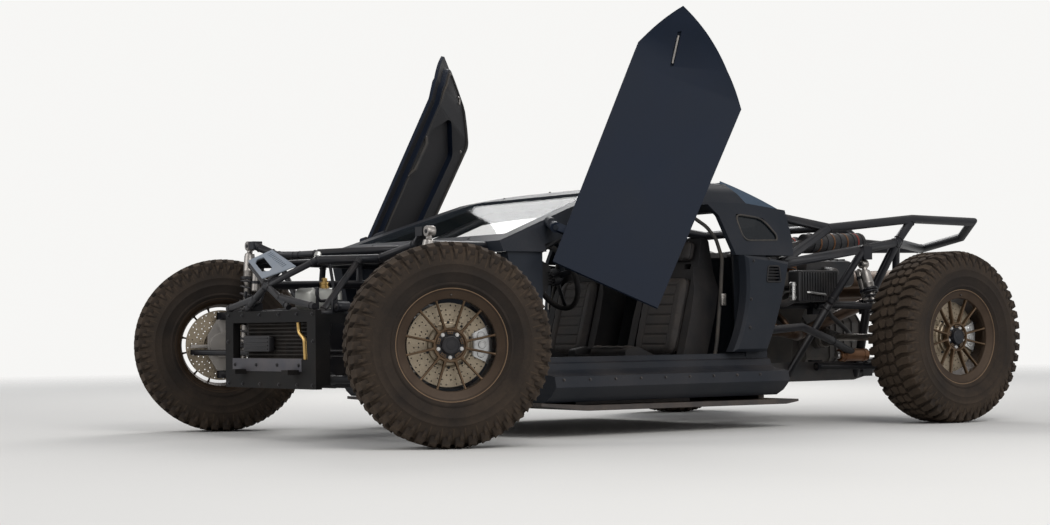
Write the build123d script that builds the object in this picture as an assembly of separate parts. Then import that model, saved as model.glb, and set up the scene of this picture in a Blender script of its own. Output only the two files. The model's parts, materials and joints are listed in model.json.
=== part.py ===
from build123d import *
import os
from math import cos, pi, radians, sin

# Off-road supercar: a low two-seat body with raised swing-up doors on an open
# tube frame, with a mid engine, double wishbones and four large all-terrain tyres.
# Millimetres. X runs forward from the rear axle, Y to the left, Z up from the ground.
# Everything is modelled in that frame and moved at the end, so that the finished
# car's origin is the middle of its box, at ground level.

# Wheels and stance
WHEELBASE = 3060
TRACK = 2180
TYRE_D = 880
TYRE_W = 300
WHEEL_Z = TYRE_D / 2
BEAD_R = 228
LIP_R = 245
LUGS = 20
LUG_SHARE = 0.74
LUG_H = 13
RIM_W = 240
RIM_WALL = 7
BARREL_R = 212
SPOKE_CIRCLE_R = 197
SPOKE_PAIRS = 6
PAIR_SPREAD = 24
SPOKE_W = 13
SPOKE_DEPTH = 26
HUB_R = 72
CAP_R = 38
DISC_R = 180
DISC_HAT_R = 92
DISC_T = 28
AXLE_R = 30
FIT = 0.05

# Steering
KINGPIN_IN = 60
KINGPIN_HALF = 130
STEER_REST = -23.5
STEER_LOCK = 30
STEER_ARM = 140
RACK_R = 15
RACK_DROP = 36

# Body
WALL = 30
BELT_Z = 860
SHELL_FRONT = WHEELBASE - 480
CAGE_FOOT_Y = 660
DASH_W = CAGE_FOOT_Y - 70
TUB_REAR = 960
TUB_FRONT = WHEELBASE - 620
FLOOR_Z = 165
FLOOR_T = 15
POST_Y = 785
SILL_IN = 730
ROOF_Z = 1251

# Doors, shut, then turned open about one skew hinge
DOOR_Y = 863
DOOR_T = 50
DOOR_SKIN = 20
DOOR_RIM = 42
DOOR_OPEN = 70
HINGE_AT = (TUB_FRONT - 82, DOOR_Y + 64, 950)
HINGE_DIR = (0.411, 0.880, -0.235)
HINGE_PIN_R = 12
HINGE_RING_R = 24

# Tubes
MAIN_TUBE = 48
FRONT_TUBE = 40
THIN_TUBE = 30
ARM_TUBE = 34
BEND = 90

# Clearance where one piece sits on another
SEAT = 0.3
PLATE_PAD = 8.9

FRONT_AXLE = WHEELBASE
HALF_TRACK = TRACK / 2
KINGPIN_Y = HALF_TRACK - KINGPIN_IN
RACK_X = FRONT_AXLE + STEER_ARM * cos(radians(STEER_REST))
RACK_Z = WHEEL_Z - RACK_DROP


def tube(points, diameter):
    """One round tube along straight runs, mitred where it turns."""
    first, second = Vector(*points[0]), Vector(*points[1])
    section = Plane(origin=first, z_dir=second - first) * Circle(diameter / 2)
    return sweep(section, path=Polyline(*points), transition=Transition.RIGHT)


def bent_tube(points, diameter, bend=BEND):
    """One round tube bent to a radius where it turns."""
    first, second = Vector(*points[0]), Vector(*points[1])
    section = Plane(origin=first, z_dir=second - first) * Circle(diameter / 2)
    return sweep(section, path=FilletPolyline(*points, radius=bend))


def rod(start, end, radius):
    """One straight round bar."""
    start, end = Vector(*start), Vector(*end)
    return Solid.make_cylinder(radius, (end - start).length, Plane(origin=start, z_dir=end - start))


def block(x, y, z):
    """A box given by its low and high corners on each axis."""
    return Pos((x[0] + x[1]) / 2, (y[0] + y[1]) / 2, (z[0] + z[1]) / 2) * Box(x[1] - x[0], y[1] - y[0], z[1] - z[0])


def weld(pieces):
    """Join pieces that meet into one solid."""
    first, *rest = pieces
    return Part() + first.fuse(*rest) if rest else first


def flip(piece):
    """The same piece on the other side of the car."""
    return mirror(piece, about=Plane.XZ)


def pair(piece):
    """A left piece and its mirror image, as solids that don't touch."""
    return Compound([*piece.solids(), *flip(piece).solids()])


def side_slab(outline, y_low, y_high):
    """An outline in X and Z, given thickness across the car."""
    face = make_face(Polyline(*[(x, 0, z) for x, z in outline], close=True))
    return Pos(0, y_low, 0) * extrude(face, amount=y_high - y_low, dir=(0, 1, 0))


def side_form(face, y_low, y_high):
    """A face drawn flat as X and Z, given thickness across the car."""
    return Pos(0, y_low, 0) * extrude(Plane.XZ * face, amount=y_high - y_low, dir=(0, 1, 0))


def cross_slab(outline, x_low, x_high):
    """An outline in Y and Z, given length along the car."""
    face = make_face(Polyline(*[(0, y, z) for y, z in outline], close=True))
    return Pos(x_low, 0, 0) * extrude(face, amount=x_high - x_low, dir=(1, 0, 0))


def plan_slab(outline, z_low, z_high):
    """An outline in X and Y, given height."""
    face = make_face(Polyline(*[(x, y, 0) for x, y in outline], close=True))
    return Pos(0, 0, z_low) * extrude(face, amount=z_high - z_low, dir=(0, 0, 1))


def facet(*points):
    """A flat face, or two where four points don't lie flat."""
    a, b, c, *rest = [Vector(*point) for point in points]
    if rest and abs((b - a).cross(c - a).normalized().dot(rest[0] - a)) > 0.001:
        return [Face(Wire.make_polygon([a, b, c])), Face(Wire.make_polygon([a, c, rest[0]]))]
    return [Face(Wire.make_polygon([a, b, c, *rest]))]


def turned(outline):
    """A ring about the wheel axle, from an outline of radius and Y."""
    face = make_face(Polyline(*[(r, y, 0) for r, y in outline], close=True))
    return revolve(face, axis=Axis.Y)


# Wheel pieces, made for a left wheel with its centre at the origin, outboard along +Y


# Tyre profile from the bead to the middle band: radius of a lug, radius between lugs, half width, slant in degrees
TREAD = [
    ((BEAD_R + SEAT) / cos(radians(180 * LUG_SHARE / LUGS)), None, RIM_W / 2 - 12, 0),
    (BEAD_R + 105, None, TYRE_W / 2, 0),
    (TYRE_D / 2 - 48, None, TYRE_W / 2 - 4, -2),
    (TYRE_D / 2 - 10, TYRE_D / 2 - 10 - LUG_H, TYRE_W / 2 - 22, -1.5),
    (TYRE_D / 2, TYRE_D / 2 - LUG_H, TYRE_W / 2 - 52, 0),
    (TYRE_D / 2, TYRE_D / 2 - LUG_H, TYRE_W / 2 - 104, 4),
]


def tyre():
    """The tyre in flat facets: bulged walls, a middle band and slanted lugs along both shoulders."""
    pitch = 360 / LUGS
    edges = [turn * pitch + share * pitch for turn in range(LUGS) for share in (0, LUG_SHARE)]

    def at(row, edge, side, low=False):
        high_r, low_r, y, slant = TREAD[row]
        r = low_r if low and low_r else high_r
        angle = radians(edges[edge % len(edges)] - 90 + side * slant)
        return r * cos(angle), side * y, r * sin(angle)

    faces = []
    last = len(TREAD) - 1
    for edge in range(len(edges)):
        low, after = edge % 2 == 1, edge + 1
        faces += facet(at(0, edge, -1), at(0, after, -1), at(0, after, 1), at(0, edge, 1))
        faces += facet(at(last, edge, 1), at(last, after, 1), at(last, after, -1), at(last, edge, -1))
        for side in (-1, 1):
            for row in range(last):
                faces += facet(
                    at(row, edge, side, low), at(row, after, side, low), at(row + 1, after, side, low),
                    at(row + 1, edge, side, low),
                )
                if TREAD[row + 1][1]:
                    wall = [at(row, edge, side), at(row + 1, edge, side), at(row + 1, edge, side, True)]
                    faces += facet(*wall, at(row, edge, side, True)) if TREAD[row][1] else facet(*wall)
            if low:
                faces += facet(at(last, edge, side), at(last, after, side), at(last, after, side, True), at(last, edge, side, True))
    return Solid(Shell(faces))


def rim():
    """Barrel with beads and lips, spoke ring, split spokes, hub and cap."""
    half = RIM_W / 2
    bead = half - 12
    inside = BARREL_R - RIM_WALL
    barrel = turned([
        (LIP_R, -half), (LIP_R, -bead - 7), (BEAD_R, -bead - 7), (BEAD_R, -bead + 22), (BARREL_R, -bead + 40),
        (BARREL_R, bead - 60), (BEAD_R, bead - 38), (BEAD_R, bead + 7), (LIP_R, bead + 7), (LIP_R, half),
        (LIP_R - 8, half), (SPOKE_CIRCLE_R + 12, half - 6), (SPOKE_CIRCLE_R, half - 20),
        (SPOKE_CIRCLE_R, half - 44), (inside, half - 60), (inside, -half + 30), (BEAD_R - 8, -half + 12),
        (BEAD_R - 4, -half),
    ])
    face = half - 34
    hub = turned([
        (AXLE_R + FIT, face - 34), (HUB_R, face - 34), (HUB_R, face - 6), (HUB_R - 10, face),
        (CAP_R + 8, face), (CAP_R, face + 12), (0.01, face + 12), (0.01, face - 2), (AXLE_R + FIT, face - 2),
    ])
    spoke = loft([
        Plane(origin=(HUB_R - 8, face - 16, 0), z_dir=(1, 0, 0)) * Rectangle(SPOKE_DEPTH - 6, SPOKE_W + 5),
        Plane(origin=(SPOKE_CIRCLE_R + 3, face - 2, 0), z_dir=(1, 0, 0)) * Rectangle(SPOKE_DEPTH, SPOKE_W),
    ])
    turns = [turn * 360 / SPOKE_PAIRS + lean for turn in range(SPOKE_PAIRS) for lean in (-PAIR_SPREAD / 2, PAIR_SPREAD / 2)]
    spokes = [Rot(0, turn, 0) * spoke for turn in turns]
    return weld([barrel, hub, *spokes])


def disc():
    """Brake disc with its hat, bolted behind the rim's hub."""
    back = RIM_W / 2 - 34 - 34 - SEAT
    ring = turned([
        (DISC_HAT_R - 12, 2), (DISC_R, 2), (DISC_R, 2 + DISC_T), (DISC_HAT_R, 2 + DISC_T),
        (DISC_HAT_R, back - 8), (DISC_HAT_R - 6, back), (AXLE_R + 8, back), (AXLE_R + 8, back - 8),
        (DISC_HAT_R - 12, back - 8),
    ])
    return ring


def knuckle(steered):
    """Upright with its ball joints, axle stub, caliper ears and steering arm."""
    outline = [
        (-28, -KINGPIN_HALF), (28, -KINGPIN_HALF), (74, -50), (74, 50), (28, KINGPIN_HALF),
        (-28, KINGPIN_HALF), (-74, 50), (-74, -50),
    ]
    upright = side_slab(outline, -KINGPIN_IN - 26, -KINGPIN_IN + 26)
    hub = rod((0, -KINGPIN_IN - 44, 0), (0, -KINGPIN_IN + 44, 0), 62)
    stub = rod((0, -KINGPIN_IN, 0), (0, RIM_W / 2 - 40, 0), AXLE_R)
    ears = block((-128, -66), (-KINGPIN_IN - 12, -KINGPIN_IN + 12), (-46, 46))
    pieces = [upright, hub, stub, ears]
    if steered:
        pieces.append(block((50, STEER_ARM + 20), (-KINGPIN_IN - 18, -KINGPIN_IN + 18), (-14, 4)))
    return weld(pieces)


def caliper(steered):
    """Caliper astride the disc on the rear side, seated on the upright's ears."""
    low = -KINGPIN_IN + 12 + SEAT
    outline = [(-193, -46), (-186, -72), (-112, -58), (-104, -30), (-104, 30), (-112, 58), (-186, 72), (-193, 46)]
    body = side_slab(outline, low, 46) & rod((0, low - 5, 0), (0, 60, 0), DISC_R + 15)
    gap = rod((0, -6, 0), (0, 2 + DISC_T + 8, 0), DISC_R + 6) - rod((0, -7, 0), (0, DISC_T + 11, 0), 60)
    return body - gap


def at_corner(piece, side, axle_x, steer=0):
    """Set a left-wheel piece at a corner: mirrored on the right, turned by the steering."""
    placed = piece if side > 0 else flip(piece)
    kingpin = Pos(axle_x, side * KINGPIN_Y, 0) * Rot(0, 0, steer)
    return kingpin * Pos(0, side * KINGPIN_IN, WHEEL_Z) * placed


# Body


def greenhouse(inset):
    """Roof, windscreen slope and leaning sides as one block, drawn in by a wall's thickness."""
    front = SHELL_FRONT - inset
    roof = ThreePointArc((1000, ROOF_Z - inset), (1440, 1230.5 - inset), (1860, 1160 - inset))
    side = Polyline((1860, 1160 - inset), (front, 910 - inset), (front, 700), (860, 700), (740 + inset, 950),
                    (700 + inset, 1100 - inset), (950, 1130 - inset), (1000, ROOF_Z - inset))
    crown = ThreePointArc((520 - inset / 2, 1232 - inset), (0, 1275 - inset), (inset / 2 - 520, 1232 - inset))
    half = [(800 - inset, 700), (800 - inset, BELT_Z), (632 - inset, 1130), (590 - inset, 1180 - inset / 2),
            (520 - inset / 2, 1232 - inset)]
    wall = Polyline(*[(-y, z) for y, z in reversed(half)], *half)
    across = extrude(Plane.YZ * make_face([crown, wall]), amount=SHELL_FRONT - 400)
    return side_form(make_face([roof, side]), -900, 900) & Pos(500, 0, 0) * across


def screen_plan(inset):
    """The windscreen opening seen from above, drawn in all round."""
    top, foot = 1790 + inset, SHELL_FRONT - 110 - inset
    return [(top, inset - 500), (top, 500 - inset), (foot, 655 - inset), (foot, inset - 655)]


def upper_shell():
    """Roof, pillars and scuttle: a hollow skin with windscreen, side and rear openings."""
    skin = greenhouse(0) - greenhouse(WALL)
    skin -= block((0, 3000), (-1000, 1000), (0, BELT_Z))
    screen = plan_slab(screen_plan(0), 860, 1300)
    sill = Polyline((1850, 1030), (SHELL_FRONT - 250, 896), (SHELL_FRONT - 215, 700), (1170, 700), (1170, 1060), (1212, 1118))
    side = side_form(make_face([ThreePointArc((1212, 1118), (1520, 1092), (1850, 1030)), sill]), -1000, 1000)
    rear = block((650, 930), (-470, 470), (700, 1300))
    corners = make_face(Polyline((1075, 930), (1060, 1075), (880, 1055), (830, 965), (845, 935), close=True))
    quarter = side_form(fillet(corners.vertices(), 24), -1000, 1000)
    skin = skin - screen - side - rear - quarter
    boss = rod(on_hinge(-235), on_hinge(-128), HINGE_RING_R)
    boss = boss & greenhouse(-60) - greenhouse(WALL)
    pin = rod(on_hinge(-190), on_hinge(-78), HINGE_PIN_R)
    hinge = weld([boss, pin])
    return weld([skin, hinge, flip(hinge)])


def on_hinge(along):
    """A point on the left door's hinge line."""
    length = Vector(*HINGE_DIR).length
    return tuple(p + along * d / length for p, d in zip(HINGE_AT, HINGE_DIR))


def windscreen():
    """Glass that fills the screen opening, a little thinner than the wall."""
    glass = greenhouse(8) - greenhouse(14)
    return glass & plan_slab(screen_plan(SEAT), 700, 1300)


def tub():
    """Floor, sills, bulkheads, posts and tunnel of the two-seat cell."""
    sill = cross_slab([
        (SILL_IN, FLOOR_Z), (SILL_IN, 372), (776, 372), (784, 348), (806, 342), (814, 314), (836, 300), (936, 286),
        (948, 236), (900, 190), (850, FLOOR_Z),
    ], TUB_REAR, TUB_FRONT - 40)
    post = side_slab([
        (TUB_FRONT - 90, 300), (TUB_FRONT - 90, BELT_Z - SEAT), (TUB_FRONT + 110, BELT_Z - SEAT),
        (TUB_FRONT + 60, 620), (TUB_FRONT, 300),
    ], SILL_IN - 30, POST_Y)
    rear_post = block((TUB_REAR, TUB_REAR + 140), (SILL_IN - 30, POST_Y - SEAT), (300, BELT_Z - SEAT))
    floor = block((TUB_REAR, TUB_FRONT), (-SILL_IN - 5, SILL_IN + 5), (FLOOR_Z, FLOOR_Z + FLOOR_T))
    wall_y = SILL_IN - 10
    front_wall = block((TUB_FRONT - 20, TUB_FRONT), (-wall_y, wall_y), (FLOOR_Z, BELT_Z - SEAT))
    rear_wall = block((TUB_REAR, TUB_REAR + 20), (-wall_y, wall_y), (FLOOR_Z, BELT_Z - SEAT))
    tunnel = cross_slab([
        (-110, FLOOR_Z + 5), (-80, 320), (-50, 340), (50, 340), (80, 320), (110, FLOOR_Z + 5),
    ], TUB_REAR + 10, TUB_FRONT - 10)
    return weld([floor, sill, flip(sill), post, flip(post), rear_post, flip(rear_post), front_wall, rear_wall, tunnel])


def quarter_panels():
    """Body sides behind the doors, with the latch face and a small vent."""
    latch = ThreePointArc((1236, 380), (1147, 620), (1150, BELT_Z - 2))
    back = Polyline((1150, BELT_Z - 2), (1000, 846), (855, 826))
    flank = ThreePointArc((855, 826), (902, 640), (1010, 380))
    panel = side_form(make_face([latch, back, flank, Line((1010, 380), (1236, 380))]), POST_Y, 850)
    panel = chamfer(panel.faces().sort_by(Axis.Y)[-1].edges(), 14)
    corners = make_face(Polyline((1010, 730), (1000, 800), (935, 800), (925, 730), close=True))
    vent = side_form(fillet(corners.vertices(), 9), 700, 900)
    return pair(panel - vent)


def roof_fairing():
    """Two thin side blades with a bowed top and a slatted panel between them, behind the roof."""
    crown = ThreePointArc((1003, 1250), (812, 1192), (610, 1117))
    foot = Polyline((610, 1117), (610, 1106), (935, 1136), (1003, 1136), (1003, 1250))
    blade = side_form(make_face([crown, foot]), 494, 500)
    panel = side_slab([(996, 1243), (640, 1122), (640, 1117), (996, 1237)], -496, 496)
    for row in range(7):
        for low in (-455, -145, 165):
            panel -= block((672 + row * 44, 694 + row * 44), (low, low + 290), (1100, 1260))
    return weld([blade, flip(blade), panel]) - greenhouse(-SEAT)


def door():
    """The left door shut: a thin skin that flares out behind, on an inner frame with a pocket and a handle slot."""
    fore = Polyline((1434, 353), (TUB_FRONT + 67, 401), (TUB_FRONT + 43, 926), (1318, 924))
    top, tip = ThreePointArc((1318, 924), (1206, 866), (1101, 790)), ThreePointArc((1101, 790), (1234, 546), (1434, 353))
    skin = make_face([fore, top, tip])
    frame = fillet(offset(skin, -DOOR_RIM, kind=Kind.INTERSECTION).vertices(), 46)
    pocket = make_face(Polyline((2230, 560), (2260, 800), (1560, 840), (1410, 700), (1560, 520), close=True))
    pocket = fillet(pocket.vertices(), 50)

    def layer(face, outer, inner):
        """One face of the door, between two depths in from its outer side."""
        plan = [(2700, 0), (1420, 2), (1290, 30), (1170, 88), (1050, 140)]
        plan = [(x, DOOR_Y + out - outer) for x, out in plan] + [(x, DOOR_Y + out - inner) for x, out in reversed(plan)]
        return side_form(face, 700, 1100) & plan_slab(plan, 200, 1100)

    slab = layer(skin, 0, DOOR_SKIN) + layer(frame, DOOR_SKIN, DOOR_T) - layer(pocket, DOOR_SKIN, DOOR_T + 1)
    slot = side_slab([(1213, 768), (1205, 752), (1362, 727), (1372, 741)], 700, 1100) & layer(skin, -20, 14)
    ring = rod(on_hinge(-116), on_hinge(-84), HINGE_RING_R)
    hinge_x, hinge_y = HINGE_AT[0], HINGE_AT[1]
    lug = block((hinge_x - 60, hinge_x - 22), (hinge_y - 95, hinge_y - 67), (890, 972))
    bore = rod(on_hinge(-130), on_hinge(-60), HINGE_PIN_R + FIT)
    return weld([slab - slot, ring, lug]) - bore


def opened(piece):
    """Turn the shut left door up about its hinge."""
    return piece.rotate(Axis(HINGE_AT, HINGE_DIR), DOOR_OPEN)


# Frames

NOSE = (FRONT_AXLE + 300, 0, 720)
BUMPER_X = FRONT_AXLE + 280
SHOULDER = (FRONT_AXLE + 215, 314, 828)
CREST = (FRONT_AXLE + 138, 194, 863)
PIVOT_Y = 345
LOW_ARM_Z = 285
TOP_ARM_Z = 615


def front_frame():
    """Open nose: lower and middle rails, shoulder rails, crest rails and shock towers."""
    x = FRONT_AXLE
    back = TUB_FRONT - 20
    left = [
        tube([(back, 320, 240), (x + 255, 320, 270)], FRONT_TUBE),
        tube([(back, 380, 600), (x + 250, 380, 585)], FRONT_TUBE),
        bent_tube([SHOULDER, (x - 110, 330, 838), (back, 520, 836)], FRONT_TUBE),
        bent_tube([CREST, (x - 180, 230, 882), (SHELL_FRONT + 5, 300, 885)], FRONT_TUBE),
        tube([NOSE, SHOULDER], THIN_TUBE),
        tube([SHOULDER, CREST], THIN_TUBE),
        tube([NOSE, (x + 296, 196, 616)], THIN_TUBE),
        tube([(x + 298, 98, 666), (x + 285, 410, 617)], THIN_TUBE),
        tube([(x + 236, 380, 585), (x + 10, 350, 834)], THIN_TUBE),
        tube([(x + 200, 320, 268), (x + 190, 380, 586)], THIN_TUBE),
        tube([(x - 200, 320, 255), (x - 200, 380, 592), (x - 200, 340, 838)], THIN_TUBE),
        tube([(SHELL_FRONT + 1, 650, 888), (x - 110, 650, 890), (x - 110, 330, 838)], FRONT_TUBE),
        tube([(x - 110, 650, 890), (x - 110, 380, 592)], THIN_TUBE),
        tube([(x - 110, 650, 890), (x - 60, FRONT_SHOCK_TOP[1] - 60, 938)], FRONT_TUBE),
        block((x - 85, x - 35), (FRONT_SHOCK_TOP[1] - 80, FRONT_SHOCK_TOP[1] - 24 - SEAT), (922, 962)),
    ]
    for pivot_x in (x - 190, x + 190):
        left.append(block((pivot_x - 36, pivot_x + 36), (318, PIVOT_Y), (LOW_ARM_Z - 34, LOW_ARM_Z + 34)))
    for pivot_x in (x - 240, x + 150):
        left.append(block((pivot_x - 36, pivot_x + 36), (384, 405), (TOP_ARM_Z - 50, TOP_ARM_Z + 30)))
    middle = [
        tube([NOSE, (back, 0, 730)], FRONT_TUBE),
        tube([(x - 200, -340, 838), (x - 200, 340, 838)], THIN_TUBE),
        tube([(x - 180, -230, 882), (x - 180, 230, 882)], THIN_TUBE),
        tube([CREST, (CREST[0], -CREST[1], CREST[2])], THIN_TUBE),
        tube([(x - 200, -380, 592), (x - 200, 380, 592)], THIN_TUBE),
        tube([(x - 200, 0, 592), (x - 200, 0, 838)], THIN_TUBE),
        tube([(x - 200, -320, 255), (x - 200, 320, 255)], FRONT_TUBE),
        tube([(RACK_X, -320, 264), (RACK_X, 320, 264)], FRONT_TUBE),
    ]
    housing = [
        rod((RACK_X, -250, RACK_Z), (RACK_X, 250, RACK_Z), 32),
        block((RACK_X - 14, RACK_X + 14), (-240, -215), (RACK_Z - 150, RACK_Z - 20)),
        block((RACK_X - 14, RACK_X + 14), (215, 240), (RACK_Z - 150, RACK_Z - 20)),
    ]
    cell = block((TUB_FRONT - 100, TUB_FRONT + SEAT), (-700, 700), (0, BELT_Z))
    bore = rod((RACK_X, -400, RACK_Z), (RACK_X, 400, RACK_Z), RACK_R + FIT)
    return weld([*left, *[flip(piece) for piece in left], *middle, *housing]) - cell - bore


def front_bumper():
    """Open box of folded plate ahead of the rails, with tow eyes below."""
    x = BUMPER_X
    frame = block((x - 20, x + 12), (-430, 430), (244, 602)) - block((x - 40, x + 40), (-352, 352), (376, 548))
    side = block((x - 240, x - 20), (422, 430), (540, 582)) + block((x - 64, x - 20), (422, 430), (262, 582))
    eye = block((x + 12, x + 72), (221, 281), (309, 331)) - rod((x + 44, 251, 280), (x + 44, 251, 360), 13)
    return weld([frame, side, flip(side), eye, flip(eye)])


def hood_plate():
    """Slotted plate over the right of the nose, with its six-sided opening."""
    nose, shoulder = Vector(*NOSE), Vector(SHOULDER[0], -SHOULDER[1], SHOULDER[2])
    crest, far = Vector(CREST[0], -CREST[1], CREST[2]), Vector(FRONT_AXLE + 243, 198, 786)
    corners = [nose, shoulder, crest, far]
    centre = sum(corners, Vector()) / 4
    up = (shoulder - far).cross(crest - nose)
    up = up if up.Z > 0 else -up
    base = Plane(origin=centre + up.normalized() * (FRONT_TUBE / 2 + PLATE_PAD), x_dir=nose - shoulder, z_dir=up)
    flat = [base.to_local_coords(point) for point in corners]
    plate = make_face(Polyline(*[(p.X, p.Y) for p in flat], close=True))
    start = Pos(flat[1].X, flat[1].Y)
    opening = make_face(Polyline((62, 36), (96, 20), (262, 20), (322, 50), (300, 68), (98, 68), close=True))
    plate -= start * fillet(opening.vertices(), 6)
    for slot in range(11):
        plate -= start * Pos(104 + slot * 28, 101 + slot * 1.6) * Rot(0, 0, -20) * Rectangle(9, 24)
    return extrude(base * plate, amount=5)


def rear_frame():
    """Open tail: side tubes, posts, arches, lower rails and the loop at the back."""
    back = TUB_REAR + 20
    n1, n2, n3 = (240, 500, 1025), (-397, 500, 1087), (-880, 500, 1081)
    knee, tail, dip = (-900, 400, 1000), (-1000, 0, 950), (-270, 500, 955)
    root = (835, 740, 815)
    elbow, shin, heel = (-75, 470, 640), (-80, 400, 370), (-100, 330, 232)
    brace = MAIN_TUBE - 8
    left = [
        tube([(690, 520, 1082), n1, n2, n3, knee, tail], MAIN_TUBE),
        tube([n2, dip, elbow, shin, heel], MAIN_TUBE),
        tube([root, n1], MAIN_TUBE),
        tube([root, dip, tail], MAIN_TUBE),
        tube([root, (835, 640, 560), (835, 560, 215)], MAIN_TUBE),
        tube([(400, 660, 620), (80, REAR_SHOCK_TOP[1] + 5, 915), dip], brace),
        tube([(back, 735, 478), (640, 700, 500), (300, 560, 430), (-86, 382, 335)], brace),
        tube([(back, 560, 215), (400, 320, 230), (-100, 320, 230), (-420, 320, 300)], MAIN_TUBE),
        tube([dip, (-420, 320, 300)], brace),
        tube([(400, 320, 230), (400, 660, 620)], brace),
        block((50, 110), (REAR_SHOCK_TOP[1] - 30, REAR_SHOCK_TOP[1] + 35), (REAR_SHOCK_TOP[2] + 24 + SEAT, 925)),
        tube([root, (back, 740, 815)], MAIN_TUBE),
        tube([(-346, 404, 615), (-230, 370, 615), (835, 370, 615), (835, 640, 560)], brace),
    ]
    for pivot_x in (-190, 190):
        left.append(block((pivot_x - 36, pivot_x + 36), (310, PIVOT_Y), (LOW_ARM_Z - 60, LOW_ARM_Z + 34)))
    for pivot_x in (-150, 240):
        left.append(block((pivot_x - 36, pivot_x + 36), (360, 405), (TOP_ARM_Z - 50, TOP_ARM_Z + 30)))
    middle = [
        tube([(-420, -320, 300), (-420, 320, 300)], MAIN_TUBE),
        tube([(n1[0], -n1[1], n1[2]), n1], brace),
        tube([(400, -320, 230), (400, 320, 230)], MAIN_TUBE),
    ]
    eye = block((-520, -436), (-11, 11), (270, 330)) - rod((-485, -40, 300), (-485, 40, 300), 13)
    cell = block((TUB_REAR - SEAT, TUB_REAR + 100), (-POST_Y, POST_Y), (0, BELT_Z))
    return weld([*left, *[flip(piece) for piece in left], *middle, eye]) - cell


def roll_cage():
    """Hoop behind the seats, roof rails, front legs and a gusset on each side."""
    hoop_x = TUB_REAR + 70
    hoop = [(hoop_x, CAGE_FOOT_Y, FLOOR_Z), (hoop_x, 630, 900), (hoop_x, 470, 1165)]
    hoop += [(x, -y, z) for x, y, z in reversed(hoop)]
    foot_x = TUB_FRONT - 70
    rail = bent_tube([(hoop_x, 455, 1165), (1750, 490, 1098), (foot_x - 20, CAGE_FOOT_Y - 20, 830),
                      (foot_x, CAGE_FOOT_Y, FLOOR_Z)], 42)
    floor_seat = block((0, 3000), (-1000, 1000), (0, FLOOR_Z + FLOOR_T + SEAT))
    return weld([bent_tube(hoop, 42), rail, flip(rail)]) - floor_seat


# Running gear


def arm(axle_x, spread, height, ball_z, root_y, neck):
    """A left wishbone: two legs from bushes at the frame to one ball joint on the kingpin line."""
    root = root_y + SEAT + 22
    fork = (axle_x, KINGPIN_Y - neck, ball_z)
    pieces = [rod((axle_x, KINGPIN_Y, ball_z - 19), (axle_x, KINGPIN_Y, ball_z + 19), 27)]
    if neck:
        pieces.append(tube([fork, (axle_x, KINGPIN_Y, ball_z)], ARM_TUBE))
    for pivot_x in spread:
        pieces.append(tube([(pivot_x, root, height), fork], ARM_TUBE))
        pieces.append(rod((pivot_x - 32, root, height), (pivot_x + 32, root, height), 22))
    return pieces


def lower_ball_z():
    """Centre height of the lower ball joint, just under the upright."""
    return WHEEL_Z - KINGPIN_HALF - 19.5


def upper_ball_z():
    """Centre height of the upper ball joint, just over the upright."""
    return WHEEL_Z + KINGPIN_HALF + 19.5


def front_arms():
    """Front wishbones, with a pad for the shock on each lower one."""
    x = FRONT_AXLE
    lower = arm(x, (x - 190, x + 190), LOW_ARM_Z, lower_ball_z(), PIVOT_Y, 150)
    lower.append(block((x - 30, x + 30), (KINGPIN_Y - 250, KINGPIN_Y - 200), (lower_ball_z() - 8, FRONT_SHOCK_FOOT[2] - 24 - SEAT)))
    upper = arm(x, (x - 240, x + 150), TOP_ARM_Z, upper_ball_z(), 405, 0)
    return pair(Compound([weld(lower), weld(upper)]))


def rear_arms():
    """Rear wishbones, with a pad for the shock on each lower one."""
    lower = arm(0, (-190, 190), LOW_ARM_Z, lower_ball_z(), PIVOT_Y, 150)
    lower.append(block((50, 110), (KINGPIN_Y - 295, KINGPIN_Y - 245), (lower_ball_z() - 10, REAR_SHOCK_FOOT[2] - 24 - SEAT)))
    upper = arm(0, (-150, 240), TOP_ARM_Z, upper_ball_z(), 405, 0)
    return pair(Compound([weld(lower), weld(upper)]))


SHOCK_FOOT_Z = lower_ball_z() + 45.5
FRONT_SHOCK_FOOT = (FRONT_AXLE, KINGPIN_Y - 225, SHOCK_FOOT_Z)
FRONT_SHOCK_TOP = (FRONT_AXLE - 60, KINGPIN_Y - 200, 941)
REAR_SHOCK_FOOT = (78, KINGPIN_Y - 270, SHOCK_FOOT_Z)
REAR_SHOCK_TOP = (82, KINGPIN_Y - 435, 830)


def shock(foot, top):
    """Coil-over: eyes at both ends, shaft, body, ribbed spring and its seats."""
    foot_v, top_v = Vector(*foot), Vector(*top)
    way = (top_v - foot_v).normalized()
    length = (top_v - foot_v).length

    def at(along):
        return tuple(foot_v + way * along)

    eye_low = rod((foot[0] - 20, foot[1], foot[2]), (foot[0] + 20, foot[1], foot[2]), 24)
    eye_top = rod((top[0] - 20, top[1], top[2]), (top[0] + 20, top[1], top[2]), 24)
    low, high, turns = 102, length * 0.72, 9
    pitch = (high - low) / turns
    wave = [(r, low + (turn + share) * pitch) for turn in range(turns) for r, share in ((28, 0), (38, 0.5))]
    ribs = make_face(Polyline(*[(r, 0, h) for r, h in [(8, low), *wave, (28, high), (8, high)]], close=True))
    spring = Plane(origin=foot_v, z_dir=way) * revolve(ribs, axis=Axis.Z)
    return weld([
        eye_low, eye_top, rod(at(0), at(length * 0.8), 11), rod(at(90), at(102), 40), spring,
        rod(at(length * 0.72), at(length * 0.74), 40), rod(at(length * 0.7), at(length - 34), 27),
        rod(at(length - 34), at(length), 14),
    ])


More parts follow.
